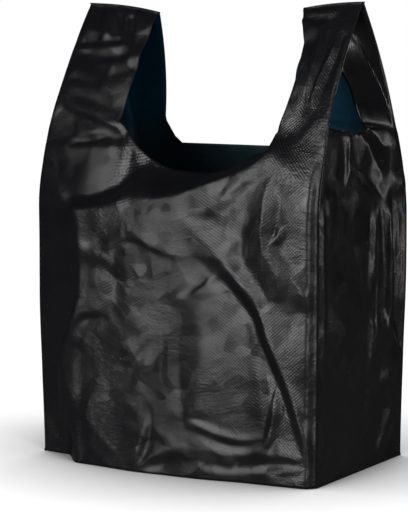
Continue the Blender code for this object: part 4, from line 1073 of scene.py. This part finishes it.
# %% Cut the mouth and the slots
# Vertices nearer than this are one: the tube's seam is merged with it
SAME_SPOT = 0.00002
face_corner = np.zeros(len(mesh.polygons) * 4, int)
mesh.polygons.foreach_get("vertices", face_corner)
face_corner = face_corner.reshape(-1, 4)
face_column = column[face_corner].min(axis=1)
face_row = row[face_corner].min(axis=1)
cut_away = np.zeros(len(face_column), bool)
for first, last in openings:
    cut_away |= (face_column >= first) & (face_column < last) & (face_row >= BODY_ROWS)
bpy.ops.object.mode_set(mode="EDIT")
bpy.ops.mesh.select_mode(type="FACE")
bpy.ops.mesh.select_all(action="DESELECT")
bpy.ops.object.mode_set(mode="OBJECT")
mesh.polygons.foreach_set("select", cut_away)
bpy.ops.object.mode_set(mode="EDIT")
bpy.ops.mesh.delete(type="FACE")
bpy.ops.mesh.select_mode(type="VERT")
bpy.ops.mesh.select_all(action="SELECT")
bpy.ops.mesh.remove_doubles(threshold=SAME_SPOT)
bpy.ops.mesh.select_all(action="DESELECT")
bpy.ops.object.mode_set(mode="OBJECT")
print("vertices left:", len(mesh.vertices))


# %% Close the foot
heights = np.zeros(len(mesh.vertices) * 3)
mesh.vertices.foreach_get("co", heights)
mesh.vertices.foreach_set("select", heights[2::3] < FILM + 0.0001)
bpy.ops.object.mode_set(mode="EDIT")
bpy.ops.mesh.edge_face_add()
bpy.ops.mesh.select_all(action="SELECT")
bpy.ops.mesh.normals_make_consistent(inside=False)
bpy.ops.object.mode_set(mode="OBJECT")
print("film faces:", len(mesh.polygons))


# %% [markdown]
# A single sheet would shade well enough, but it has only one side to colour. Solidify gives the film an inner
# and an outer skin, each with its own material. Its thickness is far more than that of the real film, which
# would vanish, and far less than the folds.

# %% Film thickness
for _ in range(2):
    mesh.materials.append(None)
wall = film.modifiers.new("film wall", "SOLIDIFY")
wall.thickness = FILM
wall.offset = 1.0
wall.material_offset = 1
bpy.ops.object.modifier_apply(modifier=wall.name)
bpy.ops.object.shade_smooth()
mesh = film.data
triangles = sum(len(face.vertices) - 2 for face in mesh.polygons)
print("film triangles:", triangles)


# %% [markdown]
# ## The surface of the film
# The film is never plain: a diamond grid is embossed into it, it has small flat facets with sharp edges from
# being folded in the pack, and it is finely wrinkled in patches. All three are too small to be modelled. As
# a pattern in space they would cut straight through the folds, so they are bump on the film's own
# coordinates. One node group holds them, because both sides of the film use them, with their own strengths.

# %% Nodes of the pattern
pattern = bpy.data.node_groups.new("film pattern", "ShaderNodeTree")
pattern.interface.new_socket("Emboss", in_out="INPUT", socket_type="NodeSocketFloat")
pattern.interface.new_socket("Crumple", in_out="INPUT", socket_type="NodeSocketFloat")
pattern.interface.new_socket("Normal", in_out="OUTPUT", socket_type="NodeSocketVector")
pattern.interface.new_socket("Wear", in_out="OUTPUT", socket_type="NodeSocketFloat")
nodes, links = pattern.nodes, pattern.links
inlet = nodes.new("NodeGroupInput")
outlet = nodes.new("NodeGroupOutput")


def joined(kind, settings, **inputs):
    """A node of the pattern with its settings, and its inputs as values or as other nodes' sockets."""
    node = nodes.new(kind)
    for key, value in settings.items():
        setattr(node, key, value)
    for key, value in inputs.items():
        socket = node.inputs[int(key[1:])] if key[1:].isdigit() else node.inputs[key.replace("_", " ")]
        if isinstance(value, bpy.types.NodeSocket):
            links.new(value, socket)
        else:
            socket.default_value = value
    return node


def numbered(values):
    """Inputs named by their number, for nodes whose inputs share one name."""
    return {f"n{number}": value for number, value in enumerate(values)}


def maths(operation, *values):
    """A number worked out from other numbers."""
    return joined("ShaderNodeMath", {"operation": operation}, **numbered(values)).outputs[0]


def vectors(operation, *values):
    """A vector worked out from other vectors."""
    node = joined("ShaderNodeVectorMath", {"operation": operation}, **numbered(values))
    return node.outputs["Value"] if operation == "DOT_PRODUCT" else node.outputs["Vector"]


def facets(place, scale, tilt):
    """Flat cells, each tilted its own way."""
    cells = joined("ShaderNodeTexVoronoi", {"voronoi_dimensions": "2D"}, Vector=place, Scale=scale)
    lean = vectors("SUBTRACT", cells.outputs["Color"], (0.5, 0.5, 0.5))
    off = vectors("SUBTRACT", place, cells.outputs["Position"])
    return maths("MULTIPLY", vectors("DOT_PRODUCT", lean, off), tilt)


def noise(place, scale, detail, roughness):
    """Soft noise between 0 and 1."""
    node = joined("ShaderNodeTexNoise", {}, Vector=place, Scale=scale, Detail=detail, Roughness=roughness)
    return node.outputs[0]


print("inputs of the pattern:", [socket.name for socket in inlet.outputs if socket.name])


# %% Emboss, facets and wrinkles
EMBOSS_PITCH = 0.0031
EMBOSS_DEPTH = 0.00009
place = joined("ShaderNodeAttribute", {"attribute_name": "film_place"}).outputs["Vector"]
split = joined("ShaderNodeSeparateXYZ", {}, Vector=place)
falling = maths("ADD", split.outputs["X"], split.outputs["Y"])
rising = maths("SUBTRACT", split.outputs["X"], split.outputs["Y"])
waves = [maths("SINE", maths("MULTIPLY", way, math.tau / EMBOSS_PITCH)) for way in (falling, rising)]
diamonds = maths("ADD", *waves)
# the crumple is laid on a slightly bent copy of the coordinates, so that no line of it runs straight
drift = joined("ShaderNodeTexNoise", {}, Vector=place, Scale=14.0, Detail=2.0)
bent = vectors("ADD", place, vectors("MULTIPLY", drift.outputs["Color"], (0.03, 0.03, 0.0)))
patches = joined("ShaderNodeMapRange", {"interpolation_type": "SMOOTHSTEP"},
                 Value=noise(place, 11.0, 2.0, 0.5), From_Min=0.42, From_Max=0.62)
wrinkles = noise(vectors("MULTIPLY", bent, (150.0, 420.0, 1.0)), 1.0, 3.0, 0.6)
crumple = maths("ADD", facets(bent, 34.0, 0.17), facets(bent, 78.0, 0.13))
crumple = maths("ADD", crumple, maths("MULTIPLY", noise(bent, 70.0, 5.0, 0.6), 0.0011))
crumple = maths("ADD", crumple, maths("MULTIPLY", maths("MULTIPLY", wrinkles, patches.outputs[0]), 0.0006))
print("nodes so far:", len(nodes))


# %% Bump and wear
calm = joined("ShaderNodeAttribute", {"attribute_name": "calm"}).outputs["Fac"]
strength = maths("MULTIPLY", inlet.outputs["Crumple"], maths("SUBTRACT", 1.0, maths("MULTIPLY", calm, 0.9)))
rough_film = joined("ShaderNodeBump", {}, Height=crumple, Distance=1.0, Strength=strength)
folded = joined("ShaderNodeAttribute", {"attribute_name": "folded"}).outputs["Fac"]
embossed = joined("ShaderNodeBump", {}, Height=diamonds, Distance=EMBOSS_DEPTH,
                  Strength=maths("MULTIPLY", inlet.outputs["Emboss"], maths("SUBTRACT", 1.0, folded)),
                  Normal=rough_film.outputs["Normal"])
wear = joined("ShaderNodeMapRange", {}, Value=noise(place, 25.0, 4.0, 0.6), From_Min=0.3, From_Max=0.7,
              To_Min=-0.05, To_Max=0.06)
links.new(embossed.outputs["Normal"], outlet.inputs["Normal"])
links.new(wear.outputs[0], outlet.inputs["Wear"])
print("pattern nodes:", len(nodes))


# %% [markdown]
# ## The two sides of the film
# The film is black outside and blue green inside. Both sides are a plain half glossy plastic whose roughness
# and normal come from the pattern. The gussets shine more than the front and show less of the emboss and the
# crumple, so each value runs from one for the front to one for the gussets, by the panel. One material that
# asks which side is seen could do it too, but the two skins of the film can simply have a material each.

# %% Materials
def film_material(name, colour, front, side):
    """Film whose roughness, emboss and crumple are given for the front and for the side panels."""
    material = bpy.data.materials.new(name)
    material.use_nodes = True
    nodes, links = material.node_tree.nodes, material.node_tree.links
    shader = nodes["Principled BSDF"]
    shader.inputs["Base Color"].default_value = (*colour, 1.0)
    shader.inputs["IOR"].default_value = 1.5
    film = nodes.new("ShaderNodeGroup")
    film.node_tree = pattern
    panel = nodes.new("ShaderNodeAttribute")
    panel.attribute_name = "side_panel"
    mixed = []
    for on_front, on_side in zip(front, side):
        mix = nodes.new("ShaderNodeMapRange")
        mix.inputs["To Min"].default_value = on_front
        mix.inputs["To Max"].default_value = on_side
        links.new(panel.outputs["Fac"], mix.inputs["Value"])
        mixed.append(mix.outputs[0])
    rough = nodes.new("ShaderNodeMath")
    links.new(mixed[0], rough.inputs[0])
    links.new(film.outputs["Wear"], rough.inputs[1])
    links.new(rough.outputs[0], shader.inputs["Roughness"])
    links.new(mixed[1], film.inputs["Emboss"])
    links.new(mixed[2], film.inputs["Crumple"])
    links.new(film.outputs["Normal"], shader.inputs["Normal"])
    return material


outside = film_material("black film", (0.006, 0.006, 0.007), (0.34, 0.5, 0.9), (0.25, 0.12, 0.4))
inside = film_material("inside of the film", (0.001, 0.026, 0.048), (0.5, 0.3, 0.6), (0.5, 0.1, 0.6))
mesh.materials[0] = inside
mesh.materials[1] = outside
print("inside faces:", sum(face.material_index == 0 for face in mesh.polygons))


# %% [markdown]
# Light that falls into the bag is lost between its dark walls, and its inside looks grey green and almost
# black below the mouth, while the insides of the handles are a clear blue green where light from behind
# shines through the thin film. Lamps alone can't tell the two apart here, so the colour changes with the
# height above the floor, which the Object coordinates give: painted shade below the mouth, and painted light
# through the film on the handles.

# %% Colour of the inside
# painted shade inside the bag below the mouth, and painted light that shines through the thin film of the
# handles
MOUTH_PAINTED_SHADE = (0.006, 0.015, 0.020, 1.0)
HANDLE_PAINTED_BACKLIGHT = (0.001, 0.026, 0.048, 1.0)
nodes, links = inside.node_tree.nodes, inside.node_tree.links
shader = nodes["Principled BSDF"]
shader.inputs["Specular IOR Level"].default_value = 0.25
spot = nodes.new("ShaderNodeTexCoord")
split = nodes.new("ShaderNodeSeparateXYZ")
above = nodes.new("ShaderNodeMapRange")
above.inputs["From Min"].default_value = 0.298
above.inputs["From Max"].default_value = 0.335
# the base colour runs by height from the painted shade to the painted light through the film
painted_light_and_shade = nodes.new("ShaderNodeMix")
painted_light_and_shade.data_type = "RGBA"
painted_light_and_shade.inputs["A"].default_value = MOUTH_PAINTED_SHADE
painted_light_and_shade.inputs["B"].default_value = HANDLE_PAINTED_BACKLIGHT
links.new(spot.outputs["Object"], split.inputs[0])
links.new(split.outputs["Z"], above.inputs["Value"])
links.new(above.outputs[0], painted_light_and_shade.inputs["Factor"])
links.new(painted_light_and_shade.outputs["Result"], shader.inputs["Base Color"])
print("inside of the film runs from", MOUTH_PAINTED_SHADE[:3], "to", HANDLE_PAINTED_BACKLIGHT[:3])


# %% [markdown]
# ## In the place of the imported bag
# It could be shown too, but its coarser folds would stand out of the film, so the film is shown in its
# place and moves with its body.

# %% Take the node's place
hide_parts("bag")
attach(film, "root")
print(film.name, "takes the place of bag")
